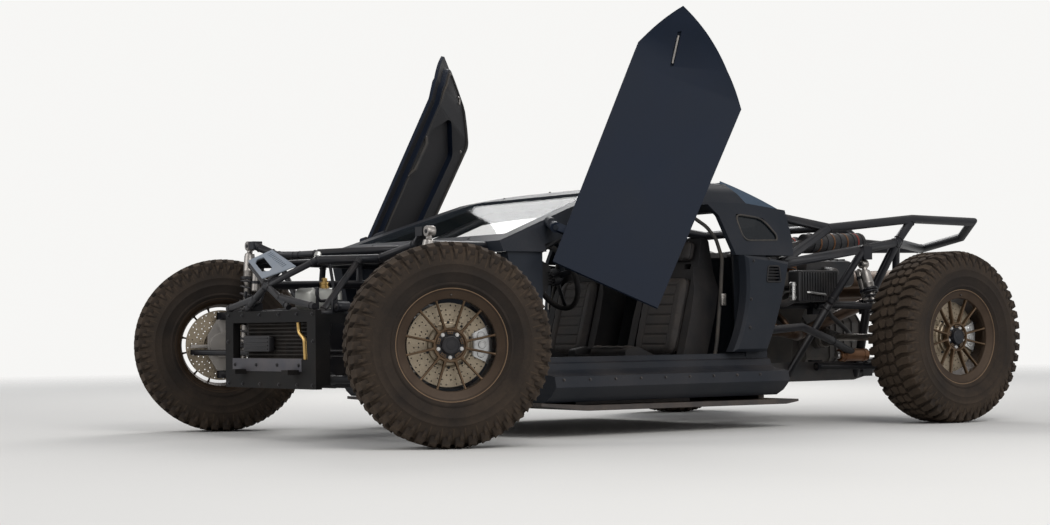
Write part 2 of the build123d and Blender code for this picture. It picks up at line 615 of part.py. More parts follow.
def steering_rack():
    """Sliding rack with its tie rods, ending just under the steering arms."""
    shift = STEER_ARM * sin(radians(STEER_REST))
    ends = [side * KINGPIN_Y + shift for side in (-1, 1)]
    pieces = [rod((RACK_X, ends[0], RACK_Z), (RACK_X, ends[1], RACK_Z), RACK_R)]
    for end in ends:
        pieces.append(rod((RACK_X, end, RACK_Z - 12), (RACK_X, end, RACK_Z + 14), 20))
    return weld(pieces)


def halfshafts():
    """Rear drive shafts with a boot at each end."""
    inner, outer = 196, KINGPIN_Y - 44 - SEAT
    shaft = turned([
        (0.01, inner), (52, inner), (52, inner + 50), (20, inner + 120), (20, outer - 120), (46, outer - 50),
        (46, outer), (0.01, outer),
    ])
    return pair(Pos(0, 0, WHEEL_Z) * shaft)


# Drive, cabin and small assemblies


def engine():
    """Plain mid engine: a vee block with its sump."""
    return cross_slab([
        (-150, 262), (-170, 420), (-330, 690), (-250, 800), (-90, 740), (90, 740), (250, 800), (330, 690),
        (170, 420), (150, 262),
    ], 200, 900)


def intake():
    """Intake plenum on the engine with a filter can on each side."""
    plenum = cross_slab([(-86, 740 + SEAT), (-130, 860), (-110, 900), (110, 900), (130, 860), (86, 740 + SEAT)], 260, 860)
    can = rod((190, 250, 955), (-240, 250, 965), 50)
    bands = [rod((x, 250, 959.4 - x / 43), (x - 12, 250, 959.7 - x / 43), 54) for x in (150, 50, -50, -150, -216)]
    can = weld([can, *bands])
    stub = rod((150, 240, 950), (420, 90, 850), 36)
    return weld([plenum, can, stub, flip(can), flip(stub)])


def transaxle():
    """Gearbox behind the engine, with a drive flange on each side."""
    case = cross_slab([(-110, 270), (-150, 330), (-150, 520), (-90, 600), (90, 600), (150, 520), (150, 330), (110, 270)],
                      -330, 200 - SEAT)
    flange = rod((0, -196 + SEAT, WHEEL_Z), (0, 196 - SEAT, WHEEL_Z), 60)
    edge = [(-118, 262), (-159, 326), (-159, 524), (-94, 609), (94, 609), (159, 524), (159, 326), (118, 262)]
    ribs = [cross_slab(edge, x, x + 10) for x in (-330, -268, -206, -144, -96, 86, 140)]
    return weld([case, flange, *ribs])


def exhaust():
    """Collector on each side and one silencer across the tail."""
    pipe = bent_tube([
        (520, 180, 520), (520, 300, 500), (330, 330, 460), (250, 250, 455), (-330, 235, 640), (-520, 235, 720),
    ], 64, 70)
    can = rod((-540, -330, 720), (-540, 330, 720), 95)
    tail = tube([(-560, 210, 760), (-700, 210, 800)], 70) - rod((-650, 210, 785.7), (-714, 210, 804), 31)
    return weld([can, pipe, flip(pipe), tail, flip(tail)]) - engine()


def radiator():
    """Cooler between the front rails, on four tabs behind the box."""
    x = FRONT_AXLE
    core = block((x + 216, x + 246), (-290, 290), (296, 572))
    tabs = [
        block((x + 246, BUMPER_X - 20 - SEAT), (side * 240 - 15, side * 240 + 15), z)
        for side in (-1, 1) for z in ((300, 340), (552, 568))
    ]
    return weld([core, *tabs])


def seats():
    """Two bucket seats: a shell each, dished between its sides, drawn in at the waist and head, with belt slots."""
    side = Polyline((1720, 182), (1720, 400), (1640, 415), (1370, 300), (1190, 960), (1110, 950), (1100, 700), (1250, 182),
                    close=True)
    side = fillet(make_face(side).vertices(), 18)
    dish = make_face(Polyline((1800, 380), (1640, 372), (1345, 258), (1150, 990), (1400, 990), (1800, 700), close=True))
    dish = fillet(dish.vertices().sort_by(Axis.Y)[0], 70)
    front = [(140, 180), (600, 180), (600, 560), (588, 690), (548, 790), (520, 970), (220, 970), (192, 790), (152, 690),
             (140, 560)]
    seat = (side_form(side, 140, 600) - side_form(dish, 195, 545)) & cross_slab(front, 1000, 1800)
    for low in (255, 435):
        seat -= block((1000, 1400), (low, low + 50), (800, 826))
    return pair(Pos(0, 0, FLOOR_Z + FLOOR_T + SEAT - 182) * seat)


def dash():
    """Instrument beam across the cell, seated on the front wall."""
    front = TUB_FRONT - 20 - SEAT
    return side_slab([
        (front, 640), (front, 842), (front - 180, 850), (front - 270, 800), (front - 250, 690), (front - 190, 640),
    ], -DASH_W, DASH_W)


def steering_wheel():
    """Rim, three spokes, boss and column."""
    centre = (1960, 370, 760)
    slope = Vector(1, 0, -0.42).normalized()
    plane = Plane(origin=centre, x_dir=(0, 1, 0), z_dir=slope)
    ring = extrude(plane * (Circle(178) - Circle(152)), amount=24)
    spokes = [extrude(plane * Rot(0, 0, turn) * Pos(90, 0) * Rectangle(140, 30), amount=14) for turn in (-10, 190, 90)]
    boss = extrude(plane * Circle(44), amount=40)
    column = rod(centre, tuple(Vector(*centre) + slope * 330), 20)
    wheel = weld([ring, boss, column, *spokes])
    return wheel - Pos(-SEAT, 0, 0) * dash()


def skid():
    """Belly plate under the cell on two spacers, turned up in front."""
    plate = side_slab([
        (2420, 150), (2150, 122), (900, 117), (820, 128), (820, 140), (900, 142), (2150, 148), (2420, FLOOR_Z - SEAT),
    ], -860, 860)
    spacers = [block((low, high), (-760, 760), (130, FLOOR_Z - SEAT)) for low, high in ((1450, 2150), (962, 1000))]
    return weld([plate, *spacers])


FRONT_LEFT, FRONT_RIGHT = (1, FRONT_AXLE, STEER_REST), (-1, FRONT_AXLE, STEER_REST)
REAR_LEFT, REAR_RIGHT = (1, 0, 0), (-1, 0, 0)
CORNERS = {"front_left": FRONT_LEFT, "front_right": FRONT_RIGHT, "rear_left": REAR_LEFT, "rear_right": REAR_RIGHT}


def build():
    """Every node of the car by name, in the rear-axle frame."""
    nodes = {
        "tub": tub(), "upper_shell": upper_shell(), "windscreen": windscreen(), "quarter_panels": quarter_panels(),
        "roof_fairing": roof_fairing(), "front_frame": front_frame(), "front_bumper": front_bumper(),
        "hood_plate": hood_plate(), "rear_frame": rear_frame(), "roll_cage": roll_cage(), "engine": engine(),
        "intake": intake(), "transaxle": transaxle(), "exhaust": exhaust(), "radiator": radiator(),
        "seats": seats(), "dash": dash(), "steering_wheel": steering_wheel(), "skid": skid(),
        "front_arms": front_arms(), "rear_arms": rear_arms(), "steering_rack": steering_rack(),
        "halfshafts": halfshafts(), "front_shocks": pair(shock(FRONT_SHOCK_FOOT, FRONT_SHOCK_TOP)),
        "rear_shocks": pair(shock(REAR_SHOCK_FOOT, REAR_SHOCK_TOP)),
    }
    left_door = opened(door())
    nodes["door_left"] = left_door
    nodes["door_right"] = flip(left_door)
    rolling = {"tyre": tyre(), "rim": rim(), "brake_disc": disc()}
    for corner, (side, axle_x, steer) in CORNERS.items():
        for name, piece in rolling.items():
            nodes[f"{name}_{corner}"] = at_corner(piece, side, axle_x, steer)
    for corner, place in (("front_left", FRONT_LEFT), ("front_right", FRONT_RIGHT)):
        nodes[f"knuckle_{corner}"] = at_corner(knuckle(True), *place)
        nodes[f"caliper_{corner}"] = at_corner(caliper(True), *place)
    nodes["rear_uprights"] = pair(at_corner(knuckle(False), *REAR_LEFT))
    nodes["rear_calipers"] = pair(at_corner(caliper(False), *REAR_LEFT))
    return nodes


def origin_of(nodes):
    """Middle of the car's box, at ground level."""
    low = min(piece.bounding_box().min.X for piece in nodes.values())
    high = max(piece.bounding_box().max.X for piece in nodes.values())
    return Vector((low + high) / 2, 0, 0)


NODES = build()
ORIGIN = origin_of(NODES)
os.makedirs("parts", exist_ok=True)
for node, piece in NODES.items():
    export_step(Compound(piece.solids()).moved(Location(-ORIGIN)), f"parts/{node}.step")
print("origin", ORIGIN, "nodes", len(NODES))
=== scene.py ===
"""Looks of an off-road supercar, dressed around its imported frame.

Metres, in the frame's own axes: X forward, Y to the driver's left, Z up from the ground.
Shapes are numpy arrays: grids of two parameters, or profiles carried along paths.
"""

from __future__ import annotations

import json
import logging
import math
from dataclasses import dataclass, field
from enum import Enum
from functools import partial
from typing import Sequence

import bmesh
import bpy
import numpy as np
from mathutils import Matrix, Vector
from mathutils.bvhtree import BVHTree

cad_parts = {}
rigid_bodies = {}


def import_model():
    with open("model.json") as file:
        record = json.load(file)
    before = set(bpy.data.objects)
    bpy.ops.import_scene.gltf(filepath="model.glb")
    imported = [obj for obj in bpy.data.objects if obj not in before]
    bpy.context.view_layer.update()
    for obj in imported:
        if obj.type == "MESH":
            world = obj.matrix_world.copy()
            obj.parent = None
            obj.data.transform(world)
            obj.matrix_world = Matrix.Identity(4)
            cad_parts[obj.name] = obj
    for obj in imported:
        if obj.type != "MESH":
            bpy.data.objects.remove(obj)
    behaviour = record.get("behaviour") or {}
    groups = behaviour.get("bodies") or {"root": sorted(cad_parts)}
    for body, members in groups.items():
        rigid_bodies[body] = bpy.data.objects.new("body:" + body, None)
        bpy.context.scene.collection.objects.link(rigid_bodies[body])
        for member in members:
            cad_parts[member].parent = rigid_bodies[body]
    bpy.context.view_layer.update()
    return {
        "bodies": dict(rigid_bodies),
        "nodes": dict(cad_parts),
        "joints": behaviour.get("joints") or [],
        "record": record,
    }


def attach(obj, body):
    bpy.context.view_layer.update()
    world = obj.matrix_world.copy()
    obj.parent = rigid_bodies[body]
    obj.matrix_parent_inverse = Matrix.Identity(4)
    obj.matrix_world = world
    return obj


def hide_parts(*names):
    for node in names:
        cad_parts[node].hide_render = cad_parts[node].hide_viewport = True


LOG = logging.getLogger("supercar")
Array = np.ndarray
Point = Sequence[float]
Shape = tuple[np.ndarray, list[np.ndarray]]
TURN = 2 * math.pi
SIDES = {1: "left", -1: "right"}
CHASSIS = "chassis"
# Radius at which a turned outline ends on its own axis
TIP = 0.0002
# Over this share of the vertical a direction can't take Z as its up
STEEP = 0.9


class Corner(str, Enum):
    """The four wheels' places."""

    FRONT_LEFT = "front_left"
    FRONT_RIGHT = "front_right"
    REAR_LEFT = "rear_left"
    REAR_RIGHT = "rear_right"

    @property
    def wheel(self) -> str:
        """The body that turns with this wheel."""
        return f"wheel_{self.value}"

    @property
    def front(self) -> bool:
        """Whether the wheel is steered."""
        return self.value.startswith("front")

    @property
    def side(self) -> int:
        """1 on the left and -1 on the right."""
        return 1 if self.value.endswith("left") else -1


# Meshes


def grid_faces(rows: int, columns: int, close_rows: bool = False, close_columns: bool = False) -> Array:
    """Quads between the points of a grid stored row by row.

    Args:
        rows: number of rows.
        columns: points in each row.
        close_rows: join the last row to the first.
        close_columns: join each row's last point to its first.

    Returns:
        Point numbers of the quads, four in each line.
    """
    i = np.arange(rows if close_rows else rows - 1)[:, None]
    j = np.arange(columns if close_columns else columns - 1)[None, :]
    below, beside = (i + 1) % rows, (j + 1) % columns
    quads = np.stack(np.broadcast_arrays(i * columns + j, i * columns + beside, below * columns + beside,
                                         below * columns + j), -1)
    return quads.reshape(-1, 4)


def capped(rows: int, columns: int) -> list[Array]:
    """Faces round a tube of points stored row by row, with a flat face at each end."""
    end = np.arange(columns)[None]
    return [grid_faces(rows, columns, False, True), end[:, ::-1], end + (rows - 1) * columns]


def signed_volume(points: Array, faces: Sequence[Array]) -> float:
    """Six times the volume inside closed faces: the sum of a.(b x c) over fans of triangles."""
    total = 0.0
    for block in faces:
        first = points[block[:, 0]]
        for k in range(1, block.shape[1] - 1):
            turned = np.cross(points[block[:, k]], points[block[:, k + 1]])
            total += float((first * turned).sum())
    return total


class Piece:
    """Closed surfaces gathered into one mesh."""

    def __init__(self, name: str) -> None:
        """Start an empty piece of that name."""
        self.name = name
        self.points: list[Array] = []
        self.faces: list[Array] = []
        self.wear: list[Array] = []
        self.total = 0

    def add(self, points: Array, faces: Sequence[Array], wear: float | Array = 0.0) -> None:
        """Add one closed surface, turned so that its faces point outwards.

        Args:
            points: places, three numbers each.
            faces: blocks of point numbers, each block with faces of one size.
            wear: dust and rubbing of these points, partly a painted highlight on tyre blocks and wall bars,
                from 0 to 1.
        """
        points = np.asarray(points, float).reshape(-1, 3)
        if signed_volume(points - points.mean(0), faces) < 0:
            faces = [block[:, ::-1] for block in faces]
        self.faces += [block + self.total for block in faces]
        self.points.append(points)
        self.wear.append(np.broadcast_to(np.asarray(wear, float).ravel(), (len(points),)))
        self.total += len(points)

    def add_at(self, shape: Shape, place: Matrix, wear: float | Array = 0.0) -> None:
        """Add one closed surface, moved to a place."""
        self.add(put(shape[0], place), shape[1], wear)

    def copies(self, points: Array, faces: Sequence[Array], wear: float | Array = 0.0) -> None:
        """Add many copies of one closed surface.

        Args:
            points: places, as copies by points by three.
            faces: one copy's faces.
            wear: dust and rubbing of one copy's points, partly a painted highlight on tyre blocks and wall
                bars.
        """
        count, size = points.shape[:2]
        if signed_volume(points[0] - points[0].mean(0), faces) < 0:
            faces = [block[:, ::-1] for block in faces]
        steps = (np.arange(count) * size)[:, None, None]
        self.faces += [(block[None] + steps + self.total).reshape(-1, block.shape[1]) for block in faces]
        self.points.append(points.reshape(-1, 3))
        one = np.broadcast_to(np.asarray(wear, float).ravel(), (size,))
        self.wear.append(np.tile(one, count))
        self.total += count * size

    def build(self, finish: Finish, body: str, slot: str, nodes: Sequence[str] = (),
              sharp: float = 35) -> bpy.types.Object:
        """Make the Blender object, with its finish, and let it ride.

        Args:
            finish: its look.
            body: the frame's body that it moves with.
            slot: the record's material slot; not used.
            nodes: nodes of the frame that it stands for.
            sharp: edges that turn more than this many degrees stay crisp.

        Returns:
            The new object.
        """
        mesh = bpy.data.meshes.new(self.name)
        points = np.concatenate(self.points).astype(np.float32)
        loops = np.concatenate([block.ravel() for block in self.faces]).astype(np.int32)
        sizes = np.concatenate([np.full(len(block), block.shape[1]) for block in self.faces])
        mesh.vertices.add(len(points))
        mesh.vertices.foreach_set("co", points.ravel())
        mesh.loops.add(len(loops))
        mesh.loops.foreach_set("vertex_index", loops)
        mesh.polygons.add(len(sizes))
        mesh.polygons.foreach_set("loop_start", (np.cumsum(sizes) - sizes).astype(np.int32))
        mesh.attributes.new("wear", "FLOAT", "POINT")
        mesh.update(calc_edges=True)
        mesh.validate()
        wear = mesh.attributes["wear"]
        wear.data.foreach_set("value", np.concatenate(self.wear).astype(np.float32))
        smooth(mesh, sharp)
        mesh.materials.append(finish.material())
        return settle(stood(self.name, mesh), body, slot, nodes)


def smooth(mesh: bpy.types.Mesh, sharp: float | None = None) -> None:
    """Shade a mesh smooth, apart from edges that turn by more than so many degrees."""
    mesh.polygons.foreach_set("use_smooth", np.ones(len(mesh.polygons), bool))
    if sharp is not None:
        mesh.set_sharp_from_angle(angle=math.radians(sharp))


def stood(name: str, data: bpy.types.ID) -> bpy.types.Object:
    """A new object in the scene that shows some data."""
    made = bpy.data.objects.new(name, data)
    bpy.context.scene.collection.objects.link(made)
    return made


def settle(piece: bpy.types.Object, body: str, slot: str, nodes: Sequence[str] = ()) -> bpy.types.Object:
    """Let a finished piece ride on its body and hide what it stands for."""
    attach(piece, body)
    if nodes:
        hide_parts(*nodes)
    LOG.info("%s: %d faces", piece.name, len(piece.data.polygons))
    return piece


# Shapes


def unit(vector: Point) -> Array:
    """The vector at length one."""
    vector = np.asarray(vector, float)
    return vector / np.linalg.norm(vector)


def bent(corners: Sequence[Point], bend: float, step: float = 9.0) -> Array:
    """A path of straight runs with a round arc at each corner.

    At a corner that turns by an angle t the arc starts bend * tan(t / 2) before it, or
    0.46 of the shorter run if that is less, and lies in the plane of the two runs.

    Args:
        corners: the runs' ends.
        bend: radius of the arcs.
        step: degrees between points of an arc.

    Returns:
        Points along the path.
    """
    corners = np.asarray(corners, float)
    path = [corners[:1]]
    for before, corner, after in zip(corners, corners[1:], corners[2:]):
        into, out = corner - before, after - corner
        shorter = min(np.linalg.norm(into), np.linalg.norm(out))
        into, out = unit(into), unit(out)
        turn = math.acos(float(np.clip(into @ out, -1, 1)))
        if turn < math.radians(2):
            path.append(corner[None])
            continue
        reach = min(bend * math.tan(turn / 2), 0.46 * shorter)
        radius = reach / math.tan(turn / 2)
        side = unit(out - into * (into @ out))
        t = np.linspace(0, turn, max(2, math.ceil(math.degrees(turn) / step) + 1))[:, None]
        path.append(corner - into * reach + radius * (np.sin(t) * into + (1 - np.cos(t)) * side))
    path.append(corners[-1:])
    return np.concatenate(path)


def across(path: Array, closed: bool = False) -> tuple[Array, Array]:
    """Two unit directions square to a path at each point.

    The reference is the direction that the path leans to least, the last singular vector
    of its tangents, so both directions turn smoothly.
    """
    if closed:
        tangent = np.roll(path, -1, 0) - np.roll(path, 1, 0)
    else:
        tangent = np.gradient(path, axis=0)
    tangent /= np.linalg.norm(tangent, axis=1, keepdims=True)
    least = np.linalg.svd(tangent, full_matrices=True)[2][-1]
    first = np.cross(tangent, least)
    first /= np.linalg.norm(first, axis=1, keepdims=True)
    return first, np.cross(tangent, first)


def ring(sides: int, start: float = 0.0) -> Array:
    """Cosine and sine of evenly spaced angles."""
    angle = start + np.arange(sides) * TURN / sides
    return np.stack([np.cos(angle), np.sin(angle)], 1)


def pipe(path: Array, radius: float | Array, sides: int = 20, closed: bool = False) -> Shape:
    """A round section carried along a path: path + radius * (cos a * first + sin a * second).

    Args:
        path: its centre line.
        radius: one radius, or one for each point.
        sides: points round the section.
        closed: the path joins up with itself.

    Returns:
        Points and faces.
    """
    path = np.asarray(path, float)
    first, second = across(path, closed)
    radius = np.broadcast_to(np.asarray(radius, float).ravel(), (len(path),))[:, None, None]
    c, s = ring(sides).T
    points = path[:, None] + radius * (c[None, :, None] * first[:, None] + s[None, :, None] * second[:, None])
    faces = [grid_faces(len(path), sides, True, True)] if closed else capped(len(path), sides)
    return points.reshape(-1, 3), faces


def lathe(profile: Sequence[Point], segments: int = 96) -> Shape:
    """A closed outline of radius and Y turned round the Y axis: (r sin a, y, r cos a)."""
    profile = np.asarray(profile, float)
    c, s = ring(segments).T
    r, y = profile.T
    points = np.stack([s[:, None] * r, np.broadcast_to(y, (segments, len(y))), c[:, None] * r], -1)
    return points.reshape(-1, 3), [grid_faces(segments, len(profile), True, True)]


def knob(profile: Sequence[Point], sides: int = 24) -> Shape:
    """An open outline of radius and Y turned round the Y axis, closed by a flat face at each end."""
    profile = np.asarray(profile, float)
    c, s = ring(sides).T
    r, y = profile.T
    points = np.stack([r[:, None] * s, np.broadcast_to(y[:, None], (len(y), sides)), r[:, None] * c], -1)
    return points.reshape(-1, 3), capped(len(profile), sides)


def inset(outline: Array, by: float) -> Array:
    """An outline moved inwards: each corner goes along the sum of its two sides' normals."""
    before = outline - np.roll(outline, 1, 0)
    after = np.roll(outline, -1, 0) - outline
    before /= np.linalg.norm(before, axis=1, keepdims=True)
    after /= np.linalg.norm(after, axis=1, keepdims=True)
    x, y = outline.T
    area = float((x * np.roll(y, -1) - np.roll(x, -1) * y).sum())
    turn = np.array([[0, 1], [-1, 0]]) * (1 if area > 0 else -1)
    n1, n2 = before @ turn, after @ turn
    corner = (n1 + n2) / np.maximum(1 + (n1 * n2).sum(1, keepdims=True), 0.35)
    return outline - corner * -by if area < 0 else outline + corner * by


def rounded(outline: Sequence[Point], radius: float, steps: int = 4) -> Array:
    """A flat outline with each corner replaced by an arc that touches both sides."""
    outline = np.asarray(outline, float)
    parts = []
    for before, corner, after in zip(np.roll(outline, 1, 0), outline, np.roll(outline, -1, 0)):
        a, b = before - corner, after - corner
        reach = min(radius, 0.45 * np.linalg.norm(a), 0.45 * np.linalg.norm(b))
        start, end = corner + unit(a) * reach, corner + unit(b) * reach
        t = np.linspace(0, 1, steps + 1)[:, None]
        parts.append((1 - t) ** 2 * start + 2 * t * (1 - t) * corner + t**2 * end)
    return np.concatenate(parts)


def plate(outline: Array, low: float, high: float, edge: float = 0.0) -> Shape:
    """A flat outline given thickness, with its edges drawn in.

    Args:
        outline: points in the plate's own plane.
        low: place of the back face.
        high: place of the front face.
        edge: how far both faces' edges are rounded.

    Returns:
        Points in plane and height, and faces.
    """
    count = len(outline)
    levels = [(outline, low), (outline, high)]
    if edge:
        small, tiny = inset(outline, 0.3 * edge), inset(outline, edge)
        levels = [(tiny, low), (small, low + 0.3 * edge), (outline, low + edge),
                  (outline, high - edge), (small, high - 0.3 * edge), (tiny, high)]
    points = np.concatenate([np.column_stack([flat, np.full(count, level)]) for flat, level in levels])
    return points, capped(len(levels), count)


def basis(origin: Point, out: Point, up: Point = (0, 0, 1)) -> Matrix:
    """A place whose Y is out and whose Z is as near to up as it can be."""
    y = unit(out)
    x = unit(np.cross(y, np.asarray(up, float)))
    z = np.cross(x, y)
    return Matrix([[x[k], y[k], z[k], origin[k]] for k in range(3)] + [[0, 0, 0, 1]])


def facing(origin: Point, out: Point) -> Matrix:
    """A place whose Y is out, with Z for up unless out is steep."""
    return basis(origin, out, (0, 0, 1) if abs(unit(out)[2]) < STEEP else (1, 0, 0))


def about(radius: float, angle: float, y: float = 0.0) -> Array:
    """A place at a radius and an angle about the Y axis: (r sin a, y, r cos a)."""
    return np.array([radius * math.sin(angle), y, radius * math.cos(angle)])


def swung(shape: Shape, angle: float) -> Shape:
    """A flat plate stood square to the Y axis and turned about it."""
    (x, z, y), c, s = shape[0].T, math.cos(angle), math.sin(angle)
    return np.stack([x * c + z * s, y, z * c - x * s], 1), shape[1]


def squared(wave: Array, power: float) -> Array:
    """A sine or cosine drawn towards 1 and -1, for a superellipse: sign(w) * |w| ** power."""
    return np.sign(wave) * np.abs(wave) ** power


def put(points: Array, place: Matrix) -> Array:
    """Points moved by a place."""
    matrix = np.array(place)
    return np.asarray(points, float) @ matrix[:3, :3].T + matrix[:3, 3]


# Finishes


def group_of(name: str, inputs: dict[str, float | tuple], outputs: dict[str, str]) -> tuple:
    """A new shader group with named inputs and outputs, and its two end nodes."""
    group = bpy.data.node_groups.new(name, "ShaderNodeTree")
    for label, value in inputs.items():
        kind = "NodeSocketColor" if isinstance(value, tuple) else "NodeSocketFloat"
        socket = group.interface.new_socket(label, in_out="INPUT", socket_type=kind)
        socket.default_value = value
    for label, kind in outputs.items():
        group.interface.new_socket(label, in_out="OUTPUT", socket_type=kind)
    return group, group.nodes.new("NodeGroupInput"), group.nodes.new("NodeGroupOutput")


def calculate(group: bpy.types.NodeTree, operation: str, a: object, b: object = None,
              clamp: bool = False) -> object:
    """One sum in a shader group, of sockets or numbers, and its result's socket."""
    node = group.nodes.new("ShaderNodeMath")
    node.operation = operation
    node.use_clamp = clamp
    for slot, value in enumerate((a, b)):
        if isinstance(value, (int, float)):
            node.inputs[slot].default_value = value
        elif value is not None:
            group.links.new(value, node.inputs[slot])
    return node.outputs[0]


def noise(group: bpy.types.NodeTree, scale: object, detail: float = 4, stretch: Point = (1, 1, 1)) -> object:
    """Noise on Object coordinates, from 0 to 1."""
    place = group.nodes.new("ShaderNodeTexCoord")
    mapping = group.nodes.new("ShaderNodeMapping")
    mapping.inputs["Scale"].default_value = stretch
    texture = group.nodes.new("ShaderNodeTexNoise")
    texture.inputs["Detail"].default_value = detail
    group.links.new(place.outputs["Object"], mapping.inputs["Vector"])
    group.links.new(mapping.outputs["Vector"], texture.inputs["Vector"])
    if isinstance(scale, (int, float)):
        texture.inputs["Scale"].default_value = scale
    else:
        group.links.new(scale, texture.inputs["Scale"])
    return texture.outputs["Fac"]


def mixed(group: bpy.types.NodeTree, share: object, a: object, b: object) -> object:
    """Two colours mixed, and the result's socket."""
    node = group.nodes.new("ShaderNodeMix")
    node.data_type = "RGBA"
    group.links.new(share, node.inputs["Factor"])
    for label, value in (("A", a), ("B", b)):
        socket = [s for s in node.inputs if s.name == label and s.type == "RGBA"][0]
        if isinstance(value, tuple):
            socket.default_value = value
        else:
            group.links.new(value, socket)
    return [s for s in node.outputs if s.type == "RGBA"][0]


# Dust on faces that look up, on faces lower than a height, and everywhere
DUST_UP, DUST_LOW, DUST_BELOW, DUST_ALL = 0.7, 0.6, 0.9, 0.12
# Where broad noise turns to patches, and how much fine noise breaks them up
PATCH_FROM, PATCH_GAIN, SPECK_GAIN, SPECK_LEAST = 0.28, 1.9, 0.9, 0.45
# Roughness that dust and mottling add
DUST_ROUGH, MOTTLE_ROUGH = 0.5, 0.4


def weathering() -> bpy.types.NodeTree:
    """The group that mottles a colour and lays on it dust, thicker on top and near the ground, and each
    point's own mark, partly a painted highlight on tyres.
    """
    if "weathering" in bpy.data.node_groups:
        return bpy.data.node_groups["weathering"]
    group, given, result = group_of(
        "weathering",
        {"Colour": (0.5, 0.5, 0.5, 1.0), "Dust Colour": (0.36, 0.27, 0.18, 1.0), "Dust": 0.2, "Mottle": 0.2,
         "Roughness": 0.5, "Scale": 6.0},
        {"Colour": "NodeSocketColor", "Roughness": "NodeSocketFloat"},
    )
    broad = noise(group, given.outputs["Scale"])
    fine = noise(group, 90.0, 6)
    shape = group.nodes.new("ShaderNodeNewGeometry")
    parts = group.nodes.new("ShaderNodeSeparateXYZ")
    group.links.new(shape.outputs["Normal"], parts.inputs[0])
    place = group.nodes.new("ShaderNodeTexCoord")
    height = group.nodes.new("ShaderNodeSeparateXYZ")
    group.links.new(place.outputs["Object"], height.inputs[0])
    times, plus, less = (partial(calculate, group, kind) for kind in ("MULTIPLY", "ADD", "SUBTRACT"))
    up = times(calculate(group, "MAXIMUM", parts.outputs["Z"], 0.0), DUST_UP)
    low = times(less(DUST_BELOW, height.outputs["Z"], True), DUST_LOW)
    cover = plus(plus(up, low), DUST_ALL)
    patch = times(less(broad, PATCH_FROM, True), PATCH_GAIN)
    speck = plus(times(fine, SPECK_GAIN), SPECK_LEAST)
    # Each point's own mark: dust and rubbing, and on tyre blocks and wall bars partly a painted highlight
    wear_and_highlight_input = group.nodes.new("ShaderNodeAttribute")
    wear_and_highlight_input.attribute_name = "wear"
    dust_and_highlight_mask = plus(times(times(cover, patch), speck), times(wear_and_highlight_input.outputs["Fac"], speck))
    dust_and_highlight_mask = times(dust_and_highlight_mask, given.outputs["Dust"], True)
    bright = group.nodes.new("ShaderNodeHueSaturation")
    group.links.new(given.outputs["Colour"], bright.inputs["Color"])
    sway = times(less(broad, 0.5), given.outputs["Mottle"])
    group.links.new(plus(times(sway, 2.0), 1.0), bright.inputs["Value"])
    colour = mixed(group, dust_and_highlight_mask, bright.outputs["Color"], given.outputs["Dust Colour"])
    group.links.new(colour, result.inputs["Colour"])
    rough = plus(given.outputs["Roughness"], times(dust_and_highlight_mask, DUST_ROUGH))
    rough = plus(rough, times(sway, MOTTLE_ROUGH), True)
    group.links.new(rough, result.inputs["Roughness"])
    return group


# Scale of the broader wave as a share of the grain's
BROAD_SHARE = 0.04


def relief() -> bpy.types.NodeTree:
    """The group that gives a surface's height: fine grain with a broader wave under it."""
    if "relief" in bpy.data.node_groups:
        return bpy.data.node_groups["relief"]
    group, given, result = group_of("relief", {"Scale": 400.0, "Wave": 0.3}, {"Height": "NodeSocketFloat"})
    fine = noise(group, given.outputs["Scale"], 5)
    broad = noise(group, calculate(group, "MULTIPLY", given.outputs["Scale"], BROAD_SHARE), 2)
    height = calculate(group, "ADD", fine, calculate(group, "MULTIPLY", broad, given.outputs["Wave"]))
    group.links.new(height, result.inputs["Height"])
    return group


@dataclass(frozen=True)
class Finish:
    """One surface's look: its colour, gloss, dust, mottling and grain."""

    name: str
    colour: tuple[float, float, float]
    roughness: float
    metallic: float = 0.0
    dust: float = 0.25
    mottle: float = 0.2
    scale: float = 6.0
    grain: float = 0.1
    grain_scale: float = 400.0
    depth: float = 0.0004
    coat: float = 0.0
    alpha: float = 1.0
    specular: float = 0.5
    # Colour of the dust, also used for the painted highlight on tyre blocks and wall bars
    dust_and_highlight_colour: tuple[float, float, float] = (0.33, 0.245, 0.165)

    def material(self) -> bpy.types.Material:
        """The Blender material of this finish, made once."""
        if self.name in bpy.data.materials:
            return bpy.data.materials[self.name]
        material = bpy.data.materials.new(self.name)
        material.use_nodes = True
        tree = material.node_tree
        shader = tree.nodes["Principled BSDF"]
        # Mottling, dust and each point's own mark, which on tyres is partly a painted highlight
        dust = tree.nodes.new("ShaderNodeGroup")
        dust.node_tree = weathering()
        dust.inputs["Colour"].default_value = (*self.colour, 1)
        dust.inputs["Dust Colour"].default_value = (*self.dust_and_highlight_colour, 1)
        for label in ("Dust", "Mottle", "Roughness", "Scale"):
            dust.inputs[label].default_value = getattr(self, label.lower())
        height = tree.nodes.new("ShaderNodeGroup")
        height.node_tree = relief()
        height.inputs["Scale"].default_value = self.grain_scale
        bump = tree.nodes.new("ShaderNodeBump")
        bump.inputs["Strength"].default_value = self.grain
        bump.inputs["Distance"].default_value = self.depth
        tree.links.new(height.outputs["Height"], bump.inputs["Height"])
        tree.links.new(bump.outputs["Normal"], shader.inputs["Normal"])
        tree.links.new(dust.outputs["Colour"], shader.inputs["Base Color"])
        tree.links.new(dust.outputs["Roughness"], shader.inputs["Roughness"])
        for label, value in (("Metallic", self.metallic), ("Coat Weight", self.coat),
                             ("Coat Roughness", 0.12), ("Alpha", self.alpha),
                             ("Specular IOR Level", self.specular)):
            shader.inputs[label].default_value = value
        return material


